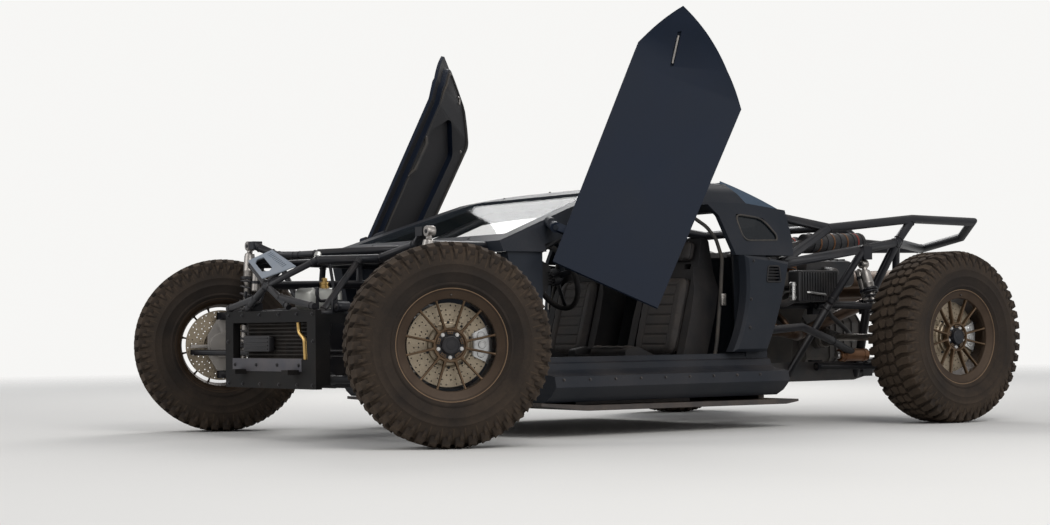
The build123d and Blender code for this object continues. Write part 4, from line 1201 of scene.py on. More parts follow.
@dataclass
class DriveShafts:
    """Rear drive shafts with a ribbed boot and a bright joint at each end."""

    inner: float = 0.196
    outer: float = 0.9857
    height: float = 0.440

    def build(self, layout: Layout) -> None:
        """Make both shafts: turned outlines about the wheel axis."""
        steel, boots = Piece("drive_shafts"), Piece("drive_shaft_boots")
        i, o = self.inner, self.outer
        shaft = [(TIP, i), (0.052, i), (0.052, i + 0.026), (0.048, i + 0.030), (0.0185, i + 0.031),
                 (0.0185, o - 0.031), (0.043, o - 0.030), (0.046, o - 0.026), (0.046, o), (TIP, o)]
        for side in SIDES:
            place = basis(layout.at(0, 0, self.height), (0, side, 0))
            steel.add_at(knob(shaft, 40), place)
            for start, direction in ((i + 0.028, 1), (o - 0.028, -1)):
                t = np.linspace(0, 1, 41)
                fall = 0.047 - 0.024 * t
                radius = fall + 0.0035 * np.cos(TURN * 5 * t) * (1 - 0.3 * t)
                profile = [(0.0190, start), *zip(radius, start + direction * 0.092 * t),
                           (0.0190, start + direction * 0.092)]
                boots.add_at(lathe(profile, 40), place)
        steel.build(MACHINED, CHASSIS, "shaft_steel", ["halfshafts"])
        boots.build(BOOT_RUBBER, CHASSIS, "shaft_steel", (), 60)


@dataclass
class SteeringWheel:
    """A thick round rim on three spokes, with a boss and a column."""

    centre: tuple[float, float, float] = (1.960, 0.370, 0.760)
    slope: tuple[float, float, float] = (1, 0, -0.42)
    radius: float = 0.164
    grip: float = 0.0132

    def build(self, layout: Layout) -> None:
        """Make the rim, its spokes and the column."""
        place = basis(layout.at(*self.centre), self.slope)
        rim, metal = Piece("steering_wheel_rim"), Piece("steering_wheel_spokes")
        turns = np.arange(96) * TURN / 96
        path = np.stack([self.radius * np.sin(turns), np.full(96, 0.012), self.radius * np.cos(turns)], 1)
        thick = self.grip * (1 + 0.05 * np.cos(3 * turns))
        rim.add_at(pipe(path, thick, 20, True), place)
        for turn in (math.radians(80), math.radians(280), math.radians(180)):
            outline = rounded([(-0.016, 0.020), (0.016, 0.020), (0.012, 0.156), (-0.012, 0.156)], 0.004, 3)
            metal.add_at(swung(plate(outline, 0.006, 0.011, 0.001), turn), place)
        boss = [(TIP, -0.022), (0.026, -0.022), (0.031, -0.018), (0.034, -0.006), (0.044, 0.004),
                (0.044, 0.016), (0.036, 0.040), (TIP, 0.040)]
        metal.add_at(knob(boss, 40), place)
        column = [(TIP, 0.036), (0.020, 0.036), (0.020, 0.230), (TIP, 0.230)]
        points, faces = knob(column, 28)
        metal.add(put(points, place), faces)
        for k in range(6):
            head, faces = knob([(0.0032, -0.0245), (0.0032, -0.020), (TIP, -0.020)], 12)
            metal.add_at((head + about(0.020, k * TURN / 6), faces), place)
        rim.build(GRIP_BLACK, CHASSIS, "cabin_black", ["steering_wheel"], 60)
        metal.build(TUBE_BLACK, CHASSIS, "cabin_black")


@dataclass
class Cooler:
    """Fins and tubes over the cooler's front, caps at its ends and a fan pair behind."""

    front: float = 3.306
    back: float = 3.276
    half: float = 0.285
    low: float = 0.302
    high: float = 0.566
    rows: int = 15
    fins: int = 150

    def build(self, layout: Layout) -> None:
        """Make rows of flat tubes with folded fins between them, and the fans."""
        core, frame = Piece("cooler_fins"), Piece("cooler_frame")
        step = (self.high - self.low) / self.rows
        levels = self.low + step * (np.arange(self.rows) + 0.5)
        for z in levels:
            add_box(core, layout.at(self.front, 0, z), (2 * self.half, 0.006, 0.0035), 0.0008, (1, 0, 0))
        y = np.linspace(-self.half, self.half, self.fins)
        zig = np.where(np.arange(self.fins) % 2, 0.40, -0.40) * step
        corners = ((-1, -1), (1, -1), (1, 1), (-1, 1))
        section = np.array([(0.0015 * x, 0, 0.0003 * z) for x, z in corners])
        for z in levels[:-1] + step / 2:
            ridge = np.stack([np.full(self.fins, self.front), y, z + zig], 1)
            points = ridge[:, None] + section + layout.at(0, 0, 0)
            core.add(points, capped(self.fins, 4))
        core.build(COOLER_METAL, CHASSIS, "cooler", (), 20)
        for side in SIDES:
            add_box(frame, layout.at(3.291, side * 0.287, 0.434), (0.018, 0.036, 0.280), 0.006, (1, 0, 0))
            centre = layout.at(self.back - 0.010, side * 0.140, 0.434)
            fan = basis(centre, (-1, 0, 0))
            frame.add_at(lathe([(0.108, -0.014), (0.122, -0.014), (0.122, 0.012), (0.108, 0.012)], 64), fan)
            hub = [(TIP, -0.010), (0.034, -0.010), (0.034, 0.012), (0.028, 0.016), (TIP, 0.016)]
            frame.add_at(knob(hub, 32), fan)
            for k in range(9):
                t = np.linspace(0.030, 0.104, 6)[:, None]
                twist = k * TURN / 9 + 0.28 + 1.5 * t
                over, deep = np.array([(-0.016, -0.004), (0.016, 0.004), (0.016, 0.0055),
                                       (-0.016, -0.0025)]).T
                x = t * np.cos(twist) - over * np.sin(twist)
                z = t * np.sin(twist) + over * np.cos(twist)
                blade = np.stack([x, np.broadcast_to(deep, x.shape), z], -1).reshape(-1, 3)
                frame.add_at((blade, capped(6, 4)), fan)
        frame.build(CABIN_BLACK, CHASSIS, "cooler")


@dataclass
class Bucket:
    """One seat's padding: crowned pads on cushion, back and head, each sewn across, with piping."""

    side: int
    middle: float = 0.370
    square: float = 0.30
    seam: float = 0.0045
    seam_depth: float = 0.0062
    band: float = 0.58

    def pads(self) -> list[tuple[str, tuple, tuple, tuple[float, float, float], int]]:
        """Name, centre in X and Z, lengthwise direction, half sizes and sewn channels of each pad."""
        return [
            ("cushion", (1.532, 0.348), (0.9328, 0.3604), (0.132, 0.166, 0.030), 4),
            ("back", (1.285, 0.560), (-0.2574, 0.9663), (0.205, 0.162, 0.027), 7),
            ("head", (1.196, 0.888), (-0.2574, 0.9663), (0.050, 0.128, 0.020), 0),
        ]

    def build(self, layout: Layout) -> None:
        """Make the three pads: superellipse shells, swelled, then pressed in along their seams."""
        for name, (x, z), (dx, dz), (a, b, c), channels in self.pads():
            centre = layout.at(x, self.side * self.middle, z)
            along, up = np.array([dx, 0, dz]), np.array([-dz, 0, dx]) * (1 if name == "cushion" else -1)
            place = np.stack([along, np.cross(up, along), up], 1)
            u = np.arange(64) * TURN / 64
            v = np.linspace(-math.pi / 2, math.pi / 2, 26)[1:-1, None]
            flat_a = a * squared(np.cos(v), self.square) * squared(np.cos(u), self.square)
            flat_b = b * squared(np.cos(v), self.square) * squared(np.sin(u), self.square)
            high = np.broadcast_to(c * squared(np.sin(v), 0.55), flat_a.shape)
            shell = np.stack([flat_a, flat_b, high], -1).reshape(-1, 3)
            mesh = bpy.data.meshes.new(f"seat_{name}")
            faces = [tuple(f) for block in capped(24, 64) for f in block.tolist()]
            mesh.from_pydata(shell.tolist(), [], faces)
            pad = swelled(mesh, 0.006 if name != "head" else 0.005)
            local = self.sewn(pad, (a, b, c), channels)
            points = local @ place.T + centre
            pad.vertices.foreach_set("co", points.astype(np.float32).ravel())
            self.finish(pad, name)
            self.piping(name, place, centre, (a, b, c))

    def sewn(self, pad: bpy.types.Mesh, size: tuple, channels: int) -> Array:
        """Pad points pressed in along channels: a bell-shaped groove at each seam and at the edge band."""
        points = places_of(pad).astype(float)
        a, b, c = size
        top = np.clip(points[:, 2] / c, 0, 1)
        rise = 0.30 * np.clip((np.abs(points[:, 1]) / b - 0.52) / 0.3, 0, 1) * c
        groove = np.zeros(len(points))
        for seam in np.linspace(-a, a, channels + 2)[1:-1] if channels else []:
            pressed = np.exp(-((points[:, 0] - seam) / self.seam) ** 2)
            groove = np.maximum(groove, pressed * (np.abs(points[:, 1]) < self.band * b))
        for line in (-self.band * b, self.band * b):
            groove = np.maximum(groove, np.exp(-((points[:, 1] - line) / self.seam) ** 2))
        points[:, 2] += top * (rise - self.seam_depth * groove)
        return points

    def finish(self, pad: bpy.types.Mesh, name: str) -> None:
        """Give the pad its cloth and let it ride."""
        pad.materials.append(SEAT_TRIM.material())
        smooth(pad)
        wear = pad.attributes.new("wear", "FLOAT", "POINT")
        wear.data.foreach_set("value", np.zeros(len(pad.vertices), np.float32))
        piece = settle(stood(f"seat_{name}_{SIDES[self.side]}", pad), CHASSIS, "seat_trim")

    def piping(self, name: str, place: Array, centre: Array, size: tuple) -> None:
        """A thin welt round the pad's edge: a superellipse path."""
        a, b, c = size
        t = np.arange(120) * TURN / 120
        path = np.stack([(a - 0.003) * squared(np.cos(t), self.square),
                         (b - 0.003) * squared(np.sin(t), self.square), np.full(120, 0.45 * c)], 1)
        welt = Piece(f"seat_{name}_piping_{SIDES[self.side]}")
        welt.add(*pipe(path @ place.T + centre, 0.0028, 8, True))
        welt.build(CABIN_BLACK, CHASSIS, "seat_trim", (), 80)


def places_of(mesh: bpy.types.Mesh) -> Array:
    """The places of a mesh's points."""
    places = np.empty(len(mesh.vertices) * 3, np.float32)
    mesh.vertices.foreach_get("co", places)
    return places.reshape(-1, 3)


def applied(pad: bpy.types.Object) -> bpy.types.Mesh:
    """A new mesh of an object as its modifiers now show it."""
    return bpy.data.meshes.new_from_object(pad.evaluated_get(bpy.context.evaluated_depsgraph_get()))


# Size of the even cells that a pad is cut into, the pressure in it, and the frames that it swells for
CELL, PRESSURE, SWELLING = 0.006, 4.0, 12


def swelled(mesh: bpy.types.Mesh, cap: float) -> bpy.types.Mesh:
    """A pad's mesh remeshed evenly and blown up a little by cloth simulation.

    Args:
        mesh: the sewn shape before it is filled.
        cap: the furthest that a point may move.

    Returns:
        A new mesh with the result applied.
    """
    pad = stood("swelling", mesh)
    even = pad.modifiers.new("even", "REMESH")
    even.mode = "VOXEL"
    even.voxel_size = CELL
    fine = applied(pad)
    pad.modifiers.clear()
    pad.data = fine
    start = places_of(fine)
    cloth = pad.modifiers.new("cloth", "CLOTH")
    cloth.settings.use_pressure = True
    cloth.settings.uniform_pressure_force = PRESSURE
    cloth.settings.effector_weights.gravity = 0.0
    for frame in range(1, SWELLING + 1):
        bpy.context.scene.frame_set(frame)
    move = places_of(applied(pad)) - start
    bpy.context.scene.frame_set(1)
    far = np.linalg.norm(move, axis=1, keepdims=True)
    move *= np.minimum(1, cap / np.maximum(far, 1e-9))
    fine.vertices.foreach_set("co", (start + move).ravel())
    pad.modifiers.clear()
    rounder = pad.modifiers.new("smooth", "SUBSURF")
    rounder.levels = rounder.render_levels = 1
    result = applied(pad)
    bpy.data.objects.remove(pad)
    return result


# Details that lie on the frame's own surfaces


# Where rays start beside, above and below the body
BESIDE, ABOVE, BELOW = 1.3, 1.6, -0.2


@dataclass
class Probe:
    """Finds places on the frame's surfaces at rest, with rays."""

    layout: Layout
    trees: dict[str, BVHTree] = field(default_factory=dict)

    def hit(self, node: str, start: Point, towards: Point) -> tuple[Array, Array] | None:
        """Where a ray from a place given from the rear axle first meets a node, and the normal there."""
        if node not in self.trees:
            mesh = bpy.data.objects[node].data
            self.trees[node] = BVHTree.FromPolygons([v.co.copy() for v in mesh.vertices],
                                                    [tuple(face.vertices) for face in mesh.polygons])
        at, normal, _, _ = self.trees[node].ray_cast(Vector(self.layout.at(*start)), Vector(towards))
        return None if at is None else (np.array(at), np.array(normal))

    def bolts(self, piece: Piece, node: str, starts: Sequence[Point], towards: Point, radius: float) -> None:
        """Add a bolt head wherever a ray meets the node, square to the surface."""
        for start in starts:
            found = self.hit(node, start, towards)
            if found:
                add_bolts(piece, [found[0]], found[1], radius)

    def side_plane(self, node: str, corners: Array, side: int) -> tuple[float, float, float]:
        """The plane y = a + b x + c z through a body side's surface at some corners, by least squares."""
        found = [self.hit(node, (x, side * BESIDE, z), (0, -side, 0)) for x, z in corners]
        at = np.array([f[0] for f in found if f])
        rows = np.column_stack([np.ones(len(at)), at[:, 0], at[:, 2]])
        return tuple(np.linalg.lstsq(rows, at[:, 1], rcond=None)[0])


@dataclass
class SideOpenings:
    """Dark panes with rubber in the quarter windows, and louvres in the vents below them."""

    window: tuple = ((1.075, 0.930), (1.060, 1.075), (0.880, 1.055), (0.830, 0.965), (0.845, 0.935))
    vent: tuple = ((1.010, 0.730), (1.000, 0.800), (0.935, 0.800), (0.925, 0.730))
    depth: float = 0.009

    def sheet(self, layout: Layout, plane: tuple, outline: Array, low: float, high: float,
              side: int) -> tuple:
        """An outline in X and Z laid along the body side's plane, between two depths."""
        points, faces = plate(outline, low, high)
        x = points[:, 0] + layout.rear_x
        y = plane[0] + plane[1] * x + plane[2] * points[:, 1] + side * points[:, 2]
        return np.stack([x, y, points[:, 1]], 1), faces

    def build(self, layout: Layout, probe: Probe) -> None:
        """Make panes, rubber, backings and louvres on both sides."""
        glass, rubber, dark = Piece("quarter_glass"), Piece("quarter_glass_rubber"), Piece("vent_louvres")
        for side in SIDES:
            window = np.array(self.window)
            plane = probe.side_plane("upper_shell", inset(window, -0.014), side)
            glass.add(*self.sheet(layout, plane, rounded(inset(window, -0.003), 0.045, 6),
                                  -self.depth - 0.004, -self.depth, side))
            edge = rounded(inset(window, 0.003), 0.045, 6)
            path, _ = self.sheet(layout, plane, edge, -0.003, 0.0, side)
            rubber.add(*pipe(path[:len(edge)], 0.0052, 8, True))
            vent = np.array(self.vent)
            plane = probe.side_plane("quarter_panels", inset(vent, -0.020), side)
            dark.add(*self.sheet(layout, plane, inset(vent, -0.004), -0.026, -0.022, side))
            edge = rounded(inset(vent, -0.004), 0.010, 4)
            path, _ = self.sheet(layout, plane, edge, 0.001, 0.002, side)
            dark.add(*pipe(path[:len(edge)], 0.0042, 8, True))
            ends, thick = (0.730, 0.800), 0.0025
            for z in (0.745, 0.760, 0.775, 0.790):
                back, front = np.interp(z, ends, (0.925, 0.935)), np.interp(z, ends, (1.010, 1.000))
                bar = np.array([(back, z - thick), (front, z - thick), (front, z + thick), (back, z + thick)])
                dark.add(*self.sheet(layout, plane, bar, -0.016, -0.002, side))
        glass.build(GLASS_DARK, CHASSIS, "glass")
        rubber.build(BOOT_RUBBER, CHASSIS, "body_paint", (), 60)
        dark.build(CABIN_BLACK, CHASSIS, "body_paint", (), 40)


def welds(layout: Layout) -> None:
    """Rippled beads round the ends of the frame's tubes, just clear of the tubes that they meet."""
    from_end, proud = 0.026, 0.0006
    thin, front, main, brace = 0.015, 0.020, 0.024, 0.020
    nose, shoulder, crest = (3.360, 0, 0.720), (3.275, 0.314, 0.828), (3.198, 0.194, 0.863)
    tower, root = (2.950, 0.650, 0.890), (0.835, 0.740, 0.815)
    dip, tail = (-0.270, 0.500, 0.955), (-1.000, 0, 0.950)
    runs = [
        (nose, shoulder, thin), (shoulder, crest, thin), (nose, (3.356, 0.196, 0.616), thin),
        ((3.358, 0.098, 0.666), (3.345, 0.410, 0.617), thin), ((3.296, 0.380, 0.585), (3.070, 0.350, 0.834),
                                                               thin),
        ((3.260, 0.320, 0.268), (3.250, 0.380, 0.586), thin), ((2.860, 0.320, 0.255), (2.860, 0.380, 0.592),
                                                               thin),
        ((2.860, 0.380, 0.592), (2.860, 0.340, 0.838), thin), (tower, (2.950, 0.330, 0.838), front),
        (tower, (2.950, 0.380, 0.592), thin), (tower, (3.000, 0.770, 0.938), front),
        ((2.860, 0, 0.838), (2.860, 0.340, 0.838), thin), ((2.880, 0, 0.882), (2.880, 0.230, 0.882), thin),
        ((3.198, 0, 0.863), crest, thin), (root, (0.240, 0.500, 1.025), main), (root, dip, main),
        (dip, tail, main), ((-0.397, 0.500, 1.087), dip, main), (dip, (-0.075, 0.470, 0.640), main),
        (root, (0.835, 0.640, 0.560), main), ((0.400, 0.660, 0.620), (0.080, 0.600, 0.915), brace),
        ((0.080, 0.600, 0.915), dip, brace), ((0.300, 0.560, 0.430), (-0.086, 0.382, 0.335), brace),
        (dip, (-0.420, 0.320, 0.300), brace), ((0.400, 0.320, 0.230), (0.400, 0.660, 0.620), brace),
        ((-0.420, 0, 0.300), (-0.420, 0.320, 0.300), main), ((0.240, 0, 1.025), (0.240, 0.500, 1.025), brace),
        ((0.400, 0, 0.230), (0.400, 0.320, 0.230), main),
    ]
    beads = Piece("weld_beads")
    for start, end, radius in runs:
        for side in SIDES:
            a, b = layout.run((start, end), side)
            way = unit(b - a)
            for place in (a + way * from_end, b - way * from_end):
                add_bead(beads, place, way, radius + proud)
    beads.build(BEAD_STEEL, CHASSIS, "frame_black", (), 70)


def cylinder(layout: Layout, start: Point, end: Point, radius: float, lips: float = 0.0,
             side: int = 1) -> Shape:
    """A round can between two places given from the rear axle, with rounded ends and lips if asked."""
    a, b = layout.run((start, end), side)
    length = float(np.linalg.norm(b - a))
    r, e = radius, min(0.2 * radius, 0.006)
    outline = [(TIP, 0.0), (r - e, 0.0), (r, e)]
    if lips:
        for y in (0.16 * length, 0.84 * length):
            outline += [(r, y - 0.006), (r + lips, y - 0.004), (r + lips, y + 0.004), (r, y + 0.006)]
    outline += [(r, length - e), (r - e, length), (TIP, length)]
    points, faces = knob(outline, 32)
    return put(points, facing(a, b - a)), faces


def fill_bay(layout: Layout) -> None:
    """The engine bay: covers, coils, headers, plenum, coolers, cans, hoses and side sheets."""
    at = layout.at
    cast, steel, dark = Piece("valve_covers"), Piece("header_pipes"), Piece("bay_boxes")
    bright, copper, red = Piece("bay_fittings"), Piece("bay_copper"), Piece("intake_red_band")
    add_box(dark, at(0.430, 0, 0.845), (0.40, 0.36, 0.110), 0.018, (0, 1, 0))
    add_box(dark, at(-0.010, 0, 0.790), (0.38, 0.52, 0.150), 0.030, (0, 1, 0))
    for x in np.linspace(-0.14, 0.12, 6):
        add_box(dark, at(x, 0, 0.868), (0.010, 0.46, 0.010), 0.002, (0, 1, 0))
    for side in SIDES:
        out, up = (0, 0.81 * side, 0.59), (0, -0.59 * side, 0.81)
        add_box(cast, at(0.550, 0.297 * side, 0.750), (0.60, 0.030, 0.105), 0.008, out, up)
        for x in np.linspace(0.32, 0.78, 5):
            centre = at(x, 0.309 * side, 0.759)
            dark.add_at(knob([(TIP, -0.004), (0.021, -0.004), (0.021, 0.010), (0.017, 0.014), (0.017, 0.026),
                              (0.013, 0.030), (TIP, 0.030)], 24), basis(centre, out, up))
            add_pipe(dark, layout.run([(x, 0.330, 0.776), (x, 0.322, 0.812), (x + 0.02, 0.250, 0.825),
                                       (x + 0.02, 0.150, 0.822)], side), 0.0045, 0.02, 8)
        for x in np.linspace(0.275, 0.825, 7):
            for shift in (-0.042, 0.042):
                add_bolts(bright, [at(x, (0.309 - 0.59 * shift) * side, 0.759 + 0.81 * shift)], out, 0.0042)
        for x in (0.42, 0.51, 0.60, 0.69, 0.78):
            add_pipe(steel, layout.run([(x, 0.255, 0.580), (x - 0.005, 0.325, 0.535),
                                        (x - 0.03, 0.350, 0.480), (0.335, 0.332, 0.462)], side), 0.0175,
                                        0.045, 16)
            add_box(steel, at(x, 0.262 * side, 0.575), (0.060, 0.010, 0.050), 0.003, (0, 0.86 * side, -0.51))
        add_box(dark, at(0.300, 0.440 * side, 0.715), (0.300, 0.085, 0.170), 0.010, (0, 1, 0))
        for x in np.linspace(0.175, 0.425, 14):
            add_box(dark, at(x, 0.4845 * side, 0.715), (0.0035, 0.010, 0.150), 0.001, (0, 1, 0))
        # Piece, places along the pipe, its radius, the radius of its bends and its sides
        for piece, places, radius, bend, sides in (
            (bright, [(0.395, 0.487, 0.683), (0.381, 0.496, 0.681), (0.271, 0.496, 0.671),
                      (0.255, 0.480, 0.668)],
             0.0065, 0.01, 12),
            (dark, [(0.18, 0.43, 0.76), (0.10, 0.40, 0.79), (0.06, 0.30, 0.80), (0.02, 0.22, 0.80)], 0.026,
             0.06, 18),
            (dark, [(0.40, 0.43, 0.66), (0.52, 0.44, 0.62), (0.66, 0.42, 0.66), (0.90, 0.42, 0.68)], 0.019,
             0.08, 16),
            (dark, [(-0.18, 0.24, 0.42), (-0.05, 0.34, 0.47), (0.10, 0.36, 0.56), (0.22, 0.42, 0.65)], 0.013,
             0.08, 12),
            (bright, [(0.515, 0.505, 0.690), (0.515, 0.440, 0.680), (0.515, 0.376, 0.625)], 0.0045, 0.01, 8),
            (bright, [(0.39, 0.280, 0.880), (0.39, 0.262, 0.790)], 0.007, 0.01, 8),
        ):
            add_pipe(piece, layout.run(places, side), radius, bend, sides)
        # Piece, both ends of the can, its radius and the rise of its lips
        for piece, start, end, radius, lips in (
            (bright, (0.516, 0.505, 0.640), (0.515, 0.505, 0.735), 0.017, 0.003),
            (bright, (0.460, 0.280, 0.918), (0.315, 0.280, 0.880), 0.026, 0.003),
            (copper, (0.262, 0.235, 0.792), (0.262, 0.235, 0.925), 0.024, 0.003),
            (copper, (-0.104, 0.420, 0.345), (0.102, 0.420, 0.345), 0.034, 0.003),
            (bright, (0.098, 0.420, 0.345), (0.122, 0.420, 0.345), 0.020, 0.0),
        ):
            piece.add(*cylinder(layout, start, end, radius, lips, side))
        for x, target in ((0.0, copper), (-0.10, copper), (0.10, copper), (-0.183, red)):
            points, faces = lathe([(0.0480, -0.005), (0.0522, -0.005), (0.0522, 0.005), (0.0480, 0.005)], 48)
            z = 0.955 + 0.010 * (0.19 - x) / 0.43
            target.add(put(points, basis(at(x, 0.250 * side, z), (1, 0, 0))), faces)
        # A flat side sheet: a thin pipe stretched upwards about its own height
        sheet = [(0.955, 0.578, 0.262), (0.400, 0.3465, 0.262), (-0.110, 0.3465, 0.262)]
        points, faces = pipe(layout.run(sheet, side), 0.0035, 4)
        points = (points - (0, 0, 0.262)) * (1, 1, 14) + (0, 0, 0.262)
        dark.add(points, faces)
    cast.build(CAST_METAL, CHASSIS, "engine_cast", (), 35)
    steel.build(HEAT_STEEL, CHASSIS, "steel_pipe", (), 40)
    dark.build(INTAKE_BLACK, CHASSIS, "intake_black", (), 35)
    bright.build(BRIGHT_METAL, CHASSIS, "engine_cast", (), 35)
    copper.build(COPPER, CHASSIS, "steel_pipe", (), 35)
    red.build(RED_PAINT, CHASSIS, "intake_black", (), 35)


def fill_nose(layout: Layout) -> None:
    """The nose: a strapped tank, hooks, a bare link, and the box, pipe and lip in the bumper's window."""
    at = layout.at
    tank, dark = Piece("nose_tank"), Piece("nose_fittings")
    bright, lip = Piece("nose_bright"), Piece("bumper_lip")
    add_box(tank, at(3.150, 0.112, 0.655), (0.180, 0.150, 0.100), 0.016, (0, 1, 0))
    for x in (3.100, 3.200):
        add_box(dark, at(x, 0.112, 0.655), (0.018, 0.156, 0.106), 0.003, (0, 1, 0))
        add_pipe(dark, layout.run([(x, 0.08, 0.700), (x, 0.02, 0.705), (x, 0.0, 0.712)]), 0.008, 0.02, 8)
    bright.add(*cylinder(layout, (3.140, 0.150, 0.700), (3.140, 0.150, 0.732), 0.022, 0.002))
    bright.add(*cylinder(layout, (3.140, 0.150, 0.730), (3.140, 0.150, 0.752), 0.013))
    add_pipe(bright, layout.run([(3.336, 0.250, 0.545), (3.336, 0.256, 0.500), (3.336, 0.305, 0.470),
                                 (3.336, 0.309, 0.420), (3.336, 0.312, 0.378)]), 0.010, 0.03, 14)
    for side in SIDES:
        rail = at(3.210, 0.3175 * side, 0.815)
        add_pipe(dark, [rail, at(3.198, 0.334 * side, 0.690), at(3.213, 0.338 * side, 0.645),
                        at(3.279, 0.338 * side, 0.642), at(3.293, 0.338 * side, 0.676),
                        at(3.288, 0.338 * side, 0.700)], 0.0075, 0.02, 12)
        add_box(dark, at(2.860, 0.304 * side, 0.430), (0.500, 0.003, 0.290), 0.001, (0, 1, 0))
        for x in np.linspace(2.66, 3.06, 5):
            add_box(dark, at(x, 0.307 * side, 0.430), (0.012, 0.006, 0.250), 0.002, (0, 1, 0))
    link, share = np.array([(3.275, 0.314, 0.828), (3.198, 0.194, 0.863)]), 0.12
    step = share * (link[1] - link[0])
    tank.add(*cylinder(layout, link[0] + step, link[1] - step, 0.0168))
    add_box(dark, at(3.330, -0.139, 0.450), (0.254, 0.030, 0.075), 0.006, (1, 0, 0))
    for z in (0.425, 0.442, 0.459, 0.476):
        add_box(dark, at(3.346, -0.139, z), (0.230, 0.006, 0.006), 0.002, (1, 0, 0))
    add_box(lip, at(3.350, -0.027, 0.352), (0.660, 0.008, 0.060), 0.002, (1, 0, 0))
    bolts = [at(3.354, y, 0.352) for y in (-0.33, -0.12, 0.08, 0.28)]
    bolts += [at(3.352, y, z) for z in (0.262, 0.584) for y in (-0.40, -0.26, -0.09, 0.09, 0.26, 0.40)]
    bolts += [at(3.352, y, 0.46) for y in (-0.405, 0.405)]
    add_bolts(dark, bolts, (1, 0, 0), 0.0065)
    tank.build(TANK_METAL, CHASSIS, "plate_grey", (), 35)
    dark.build(TUBE_BLACK, CHASSIS, "frame_black", (), 40)
    bright.build(BRASS, CHASSIS, "plate_grey", (), 40)
    lip.build(SLATE, CHASSIS, "plate_grey", (), 35)


@dataclass
class DoorTrim:
    """A door's rubber seal, pull strap, latch and hinge bolts, laid out shut and swung open with the door."""

    side: int
    hinge: tuple[float, float, float] = (2.358, 0.927, 0.950)
    direction: tuple[float, float, float] = (0.411, 0.880, -0.235)
    angle: float = 70.0
    lining: float = 0.050

    def turned(self, points: Array) -> Array:
        """Points or directions of the shut left door turned about the hinge's direction."""
        turn = np.array(Matrix.Rotation(math.radians(self.angle), 3, Vector(self.direction)))
        return (np.asarray(points, float) @ turn.T) * (1, self.side, 1)

    def opened(self, layout: Layout, points: Array) -> Array:
        """Places of the shut left door, from the rear axle, on the open door of this side."""
        hinge = np.array(self.hinge)
        return self.turned(np.asarray(points, float) - hinge) + layout.run([hinge], self.side)

    def skin(self, x: Array, z: Array, depth: float) -> Array:
        """Places on the shut door at a depth in from its outer side, which flares out behind."""
        out = np.interp(x, (1.050, 1.170, 1.290, 1.420, 2.700), (0.140, 0.088, 0.030, 0.002, 0.0))
        return np.stack([x, 0.863 + out - depth, z], -1)

    def hang(self, layout: Layout, piece: Piece, shape: Shape) -> None:
        """Add a shape of the shut left door to a piece, on this side's open door."""
        piece.add(self.opened(layout, shape[0]), shape[1])

    def build(self, layout: Layout) -> None:
        """Make the trim of this side."""
        name = SIDES[self.side]
        body = f"door_{name}"
        rubber, metal = Piece(f"door_seal_{name}"), Piece(f"door_fittings_{name}")
        outline = [(1.434, 0.353), (2.507, 0.401), (2.483, 0.926), (1.318, 0.924), (1.206, 0.866),
                   (1.101, 0.790), (1.234, 0.546)]
        edge = rounded(inset(np.array(outline), 0.060), 0.05, 6)
        path = self.skin(edge[:, 0], edge[:, 1], 0.052)
        self.hang(layout, rubber, pipe(path, 0.0065, 10, True))
        strap = self.skin(np.array([1.62, 1.66, 1.82, 1.86]), np.array([0.865, 0.868, 0.872, 0.871]),
                          self.lining)
        strap[1:3, 1] -= 0.022
        self.hang(layout, rubber, pipe(bent(strap, 0.02), 0.009, 12))
        inwards = self.turned(np.array([0.0, -1.0, 0.0]))
        for x, z in ((1.62, 0.865), (1.86, 0.871), (2.32, 0.86), (2.40, 0.86), (2.40, 0.50), (1.50, 0.46),
                     (1.95, 0.45)):
            add_bolts(metal, self.opened(layout, self.skin(np.array([x]), np.array([z]), self.lining)),
                      inwards, 0.0055)
        latch = np.array([[1.300, 0.840, 0.640], [1.270, 0.842, 0.640], [1.262, 0.842, 0.655],
                          [1.272, 0.842, 0.668]])
        latch[:, 1] = self.skin(latch[:, 0], latch[:, 2], 0.054)[:, 1]
        self.hang(layout, metal, pipe(bent(latch, 0.01), 0.0055, 10))
        handle = self.skin(np.array([1.225, 1.350]), np.array([0.7575, 0.7360]), 0.004)
        self.hang(layout, metal, pipe(handle, 0.0050, 10))
        rubber.build(BOOT_RUBBER, body, "body_paint", (), 60)
        metal.build(MACHINED, body, "body_paint", (), 35)


def doorway(layout: Layout) -> None:
    """A rubber seal down the doorway's rear edge and a striker for the latch."""
    at = layout.at
    rubber, metal = Piece("doorway_seals"), Piece("doorway_fittings")
    for side in SIDES:
        curve = [(1.277, 0.560, 1.075), (1.195, 0.610, 1.007), (1.169, 0.650, 0.942), (1.166, 0.690, 0.844),
                 (1.188, 0.700, 0.678), (1.217, 0.700, 0.434), (1.238, 0.700, 0.330)]
        add_pipe(rubber, [at(x, y * side, z) for x, y, z in curve], 0.0095, 0.10, 14)
        add_box(metal, at(1.190, 0.722 * side, 0.640), (0.030, 0.012, 0.060), 0.003, (0, side, 0))
        add_bolts(metal, [at(1.190, 0.728 * side, z) for z in (0.622, 0.658)], (0, side, 0), 0.0045)
    rubber.build(BOOT_RUBBER, CHASSIS, "body_paint", (), 60)
    metal.build(MACHINED, CHASSIS, "body_paint", (), 35)


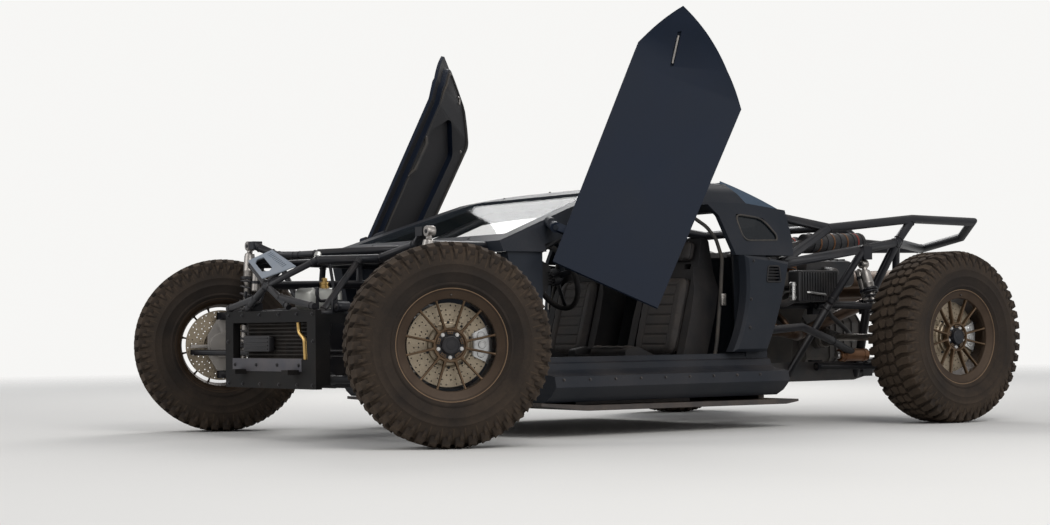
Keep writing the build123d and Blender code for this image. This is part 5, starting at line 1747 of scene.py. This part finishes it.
def brake_hoses(layout: Layout) -> None:
    """A short brake hose on each front upright, clipped to its caliper, and the ends of the pivots' bolts."""
    for corner in (Corner.FRONT_LEFT, Corner.FRONT_RIGHT):
        hose = Piece(f"brake_hose_{corner.value}")
        path = np.array([(0.176, -0.044, 0.045), (0.168, -0.070, 0.060), (0.125, -0.082, 0.075),
                         (0.085, -0.078, 0.070)])
        path[:, 0] *= -corner.side
        hose.add_at(pipe(bent(path, 0.03), 0.0045, 10), layout.wheel(corner))
        hose.build(BOOT_RUBBER, f"upright_{corner.value}", "caliper_silver", (), 60)
    ends = Piece("pivot_bolts")
    # Axle, and the ends of its upper arms; the lower ones are alike
    for axle, upper in ((3.060, (-0.240, 0.150)), (0.0, (-0.150, 0.240))):
        pivots = [(x, 0.367, 0.285) for x in (-0.190, 0.190)] + [(x, 0.427, 0.615) for x in upper]
        for x, y, z in pivots:
            for side in SIDES:
                for end in (-1, 1):
                    centre = layout.at(axle + x + 0.032 * end, y * side, z)
                    add_bolts(ends, [centre], (end, 0, 0), 0.0095)
    ends.build(BEAD_STEEL, CHASSIS, "arm_black", (), 35)


def dashboard(layout: Layout) -> None:
    """Dials behind the steering wheel, switches in the middle and vents at the ends."""
    at = layout.at
    dark, bright = Piece("dash_instruments"), Piece("dash_switches")
    back = (-1, 0, 0)
    add_box(dark, at(2.150, 0.370, 0.745), (0.250, 0.050, 0.110), 0.014, back)
    for y, r in ((0.295, 0.032), (0.370, 0.044), (0.445, 0.032)):
        bright.add_at(lathe([(r, -0.004), (r + 0.005, -0.004), (r + 0.005, 0.006), (r, 0.006)], 40),
                      basis(at(2.124, y, 0.747), back))
        dark.add_at(knob([(TIP, -0.004), (r, -0.004), (r, 0.001), (TIP, 0.001)], 40),
                    basis(at(2.124, y, 0.747), back))
        add_box(bright, at(2.1225, y + 0.006, 0.747 + 0.3 * r), (0.0016, 0.0014, 0.8 * r), 0.0004, back,
                (0, 0.5, 1))
    add_box(dark, at(2.160, 0, 0.735), (0.230, 0.040, 0.130), 0.010, back)
    for k in range(10):
        y, z = (k % 5 - 2) * 0.040, 0.715 + 0.045 * (k // 5)
        bright.add(*cylinder(layout, (2.141, y, z), (2.132, y, z), 0.0075))
        bright.add(*cylinder(layout, (2.134, y, z), (2.112, y, z + 0.006), 0.0028))
    for side in SIDES:
        for shift in range(5):
            add_box(dark, at(2.164, 0.560 * side, 0.715 + 0.014 * shift), (0.110, 0.014, 0.0035), 0.001, back)
    dark.build(CABIN_BLACK, CHASSIS, "cabin_black", (), 35)
    bright.build(MACHINED, CHASSIS, "cabin_black", (), 35)


def fasten(probe: Probe) -> None:
    """Bolt heads along the roof fairing, the body sides, the sills, the belly and the windscreen's foot."""
    bolts = Piece("body_bolts")
    down, up = (0, 0, -1), (0, 0, 1)
    for side in SIDES:
        inwards = (0, -side, 0)
        panel = ((1.10, 0.83), (0.99, 0.84), (0.89, 0.84), (1.13, 0.50), (1.12, 0.64), (0.90, 0.60),
                 (0.87, 0.46))
        fairing = [(x, y * side, ABOVE) for x in (1.15, 0.95, 0.75) for y in (0.52, 0.30)]
        belly = [(x, y * side, BELOW) for x in np.linspace(0.1, 3.1, 13) for y in (0.12, 0.28)]
        # Node, where its rays start, the way that they go, and the radius of its bolts
        for node, starts, way, radius in (
            ("quarter_panels", [(x, BESIDE * side, z) for x, z in panel], inwards, 0.006),
            ("tub", [(x, BESIDE * side, 0.27) for x in np.linspace(1.15, 2.35, 9)], inwards, 0.0055),
            ("roof_fairing", fairing, down, 0.005),
            ("upper_shell", [(x, 0.43 * side, ABOVE) for x in (2.52, 1.70, 1.40)], down, 0.005),
            ("skid", belly, up, 0.007),
        ):
            probe.bolts(bolts, node, starts, way, radius)
    bolts.build(BEAD_STEEL, CHASSIS, "body_paint", (), 35)


# Stage


@dataclass(frozen=True)
class Stage:
    """Camera at the photograph's place, pale floor and soft light."""

    camera_at: tuple[float, float, float] = (7.9469, 8.3843, 0.5016)
    yaw: float = -125.88
    pitch: float = 1.88
    roll: float = -0.66
    lens: float = 70.13
    aim: tuple[float, float, float] = (0, 0, 0.7)
    fade_from: float = 4.0
    fade_to: float = 16.0
    half: float = 60.0
    lit: float = 0.42
    mirrored: float = 0.4

    def camera(self, layout: Layout) -> None:
        """Stand the camera where the photograph was taken."""
        yaw, pitch, roll = (math.radians(a) for a in (self.yaw, self.pitch, self.roll))
        ahead = np.array([math.cos(pitch) * math.cos(yaw), math.cos(pitch) * math.sin(yaw), math.sin(pitch)])
        level = unit(np.cross(ahead, (0, 0, 1)))
        over = np.cross(level, ahead)
        right = level * math.cos(roll) + over * math.sin(roll)
        up = np.cross(right, ahead)
        data = bpy.data.cameras.new("camera")
        data.lens = self.lens
        data.sensor_fit = "HORIZONTAL"
        data.sensor_width = 36
        camera = stood("camera", data)
        at = layout.at(*self.camera_at)
        camera.matrix_world = Matrix([[right[k], up[k], -ahead[k], at[k]] for k in range(3)] + [[0, 0, 0, 1]])
        bpy.context.scene.camera = camera

    def light(self) -> None:
        """A broad key from the left front, a fill, a rim light behind, and a pale surround."""
        for name, at, size, power in (("key", (2.5, 6.5, 5.5), 5.0, 260),
                                      ("fill", (7.5, -2.0, 4.0), 5.0, 140),
                                      ("rim", (-4.0, -5.5, 5.0), 4.5, 260),
                                      ("side", (-3.0, 7.0, 2.5), 4.0, 80)):
            data = bpy.data.lights.new(name, "AREA")
            data.shape = "DISK"
            data.size = size
            data.energy = power
            lamp = stood(name, data)
            aim = Vector(self.aim) - Vector(at)
            lamp.matrix_world = Matrix.Translation(at) @ aim.to_track_quat("-Z", "Y").to_matrix().to_4x4()
        world = bpy.data.worlds.new("pale surround")
        bpy.context.scene.world = world
        world.use_nodes = True
        tree = world.node_tree
        tree.nodes.clear()
        result = tree.nodes.new("ShaderNodeOutputWorld")
        seen, lit, choice = (tree.nodes.new(n) for n in ("ShaderNodeBackground", "ShaderNodeBackground",
                                                         "ShaderNodeMixShader"))
        rays = tree.nodes.new("ShaderNodeLightPath")
        seen.inputs["Color"].default_value = (0.93, 0.925, 0.91, 1)
        lit.inputs["Color"].default_value = (0.90, 0.93, 1.0, 1)
        lit.inputs["Strength"].default_value = self.lit
        either = calculate(tree, "MAXIMUM", rays.outputs["Is Camera Ray"],
                           rays.outputs["Is Transmission Ray"])
        either = calculate(tree, "MAXIMUM", either, calculate(tree, "MULTIPLY", rays.outputs["Is Glossy Ray"],
                                                              self.mirrored))
        tree.links.new(either, choice.inputs[0])
        tree.links.new(lit.outputs[0], choice.inputs[1])
        tree.links.new(seen.outputs[0], choice.inputs[2])
        tree.links.new(choice.outputs[0], result.inputs[0])

    def floor(self) -> None:
        """A wide pale floor at ground level."""
        mesh = bpy.data.meshes.new("floor")
        corners = [(x * self.half, y * self.half, 0) for x, y in ((-1, -1), (1, -1), (1, 1), (-1, 1))]
        mesh.from_pydata(corners, [], [(0, 1, 2, 3)])
        floor = stood("floor", mesh)
        material = bpy.data.materials.new("pale floor")
        material.use_nodes = True
        shader = material.node_tree.nodes["Principled BSDF"]
        shader.inputs["Base Color"].default_value = (0.78, 0.76, 0.72, 1)
        shader.inputs["Roughness"].default_value = 0.85
        mesh.materials.append(material)
        tree = material.node_tree
        place, far = tree.nodes.new("ShaderNodeTexCoord"), tree.nodes.new("ShaderNodeVectorMath")
        far.operation = "LENGTH"
        tree.links.new(place.outputs["Object"], far.inputs[0])
        fade = calculate(tree, "DIVIDE", calculate(tree, "SUBTRACT", far.outputs["Value"], self.fade_from),
                         self.fade_to - self.fade_from, True)
        nothing, choice = tree.nodes.new("ShaderNodeBsdfTransparent"), tree.nodes.new("ShaderNodeMixShader")
        tree.links.new(fade, choice.inputs[0])
        tree.links.new(shader.outputs[0], choice.inputs[1])
        tree.links.new(nothing.outputs[0], choice.inputs[2])
        tree.links.new(choice.outputs[0], tree.nodes["Material Output"].inputs["Surface"])


def main() -> None:
    """Load the frame, dress it and set the stage."""
    logging.basicConfig(level=logging.INFO)
    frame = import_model()
    bpy.context.scene.view_settings.view_transform = "Standard"
    layout = Layout.read(frame)
    stage = Stage()
    stage.camera(layout)
    stage.light()
    stage.floor()
    owner = {node: body for body, nodes in frame["record"]["behaviour"]["bodies"].items() for node in nodes}
    for corner in Corner:
        place = layout.wheel(corner)
        Tyre().build(place, corner)
        Rim().build(place, corner)
        Disc().build(place, corner)
        body = f"upright_{corner.value}" if corner.front else CHASSIS
        node = f"caliper_{corner.value}" if corner.front else "rear_calipers"
        Caliper().build(place, corner, body, node)
    tubes = 40.0
    for carried in (
        Carried("tub", BODY_PAINT, "body_paint", 0.005),
        Carried("upper_shell", BODY_PAINT, "body_paint", 0.005),
        Carried("windscreen", GLASS_CLEAR, "glass", 0.0),
        Carried("quarter_panels", BODY_PAINT, "body_paint", 0.005),
        Carried("roof_fairing", FAIRING_PAINT, "fairing_paint", 0.0015),
        Carried("door_left", DOOR_PAINT, "body_paint", 0.006, lining=CABIN_BLACK),
        Carried("door_right", DOOR_PAINT, "body_paint", 0.006, lining=CABIN_BLACK),
        Carried("front_frame", TUBE_BLACK, "frame_black", 0.0, tubes),
        Carried("rear_frame", TUBE_BLACK, "frame_black", 0.0, tubes),
        Carried("roll_cage", TUBE_BLACK, "frame_black", 0.0, tubes),
        Carried("front_bumper", BUMPER_BLACK, "frame_black", 0.002),
        Carried("hood_plate", PLATE_GREY, "plate_grey", 0.0015),
        Carried("engine", CAST_METAL, "engine_cast", 0.008),
        Carried("intake", INTAKE_BLACK, "intake_black", 0.0),
        Carried("transaxle", CAST_METAL, "engine_cast", 0.006),
        Carried("exhaust", HEAT_STEEL, "steel_pipe", 0.0),
        Carried("radiator", COOLER_METAL, "cooler", 0.0),
        Carried("seats", CABIN_BLACK, "seat_trim", 0.012),
        Carried("dash", CABIN_BLACK, "cabin_black", 0.012),
        Carried("skid", SKID_DARK, "frame_black", 0.002),
        Carried("front_arms", TUBE_BLACK, "arm_black", 0.0, tubes),
        Carried("rear_arms", TUBE_BLACK, "arm_black", 0.0, tubes),
        Carried("steering_rack", TUBE_BLACK, "shaft_steel", 0.0),
        Carried("knuckle_front_left", MACHINED, "upright_metal", 0.002),
        Carried("knuckle_front_right", MACHINED, "upright_metal", 0.002),
        Carried("rear_uprights", MACHINED, "upright_metal", 0.002),
    ):
        side = -1 if carried.node == "door_right" else 1
        carried.build(owner[carried.node], DoorTrim(side).turned(np.array([0.0, -1.0, 0.0])))
    coil_overs(layout, "front_shocks", (3.060, 0.805, 0.336), (3.000, 0.830, 0.941))
    coil_overs(layout, "rear_shocks", (0.078, 0.760, 0.336), (0.082, 0.595, 0.830))
    DriveShafts().build(layout)
    SteeringWheel().build(layout)
    Cooler().build(layout)
    for side in SIDES:
        Bucket(side).build(layout)
        DoorTrim(side).build(layout)
    probe = Probe(layout)
    SideOpenings().build(layout, probe)
    fasten(probe)
    welds(layout)
    fill_bay(layout)
    fill_nose(layout)
    dashboard(layout)
    doorway(layout)
    brake_hoses(layout)
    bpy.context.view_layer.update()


if __name__ == "__main__":
    main()
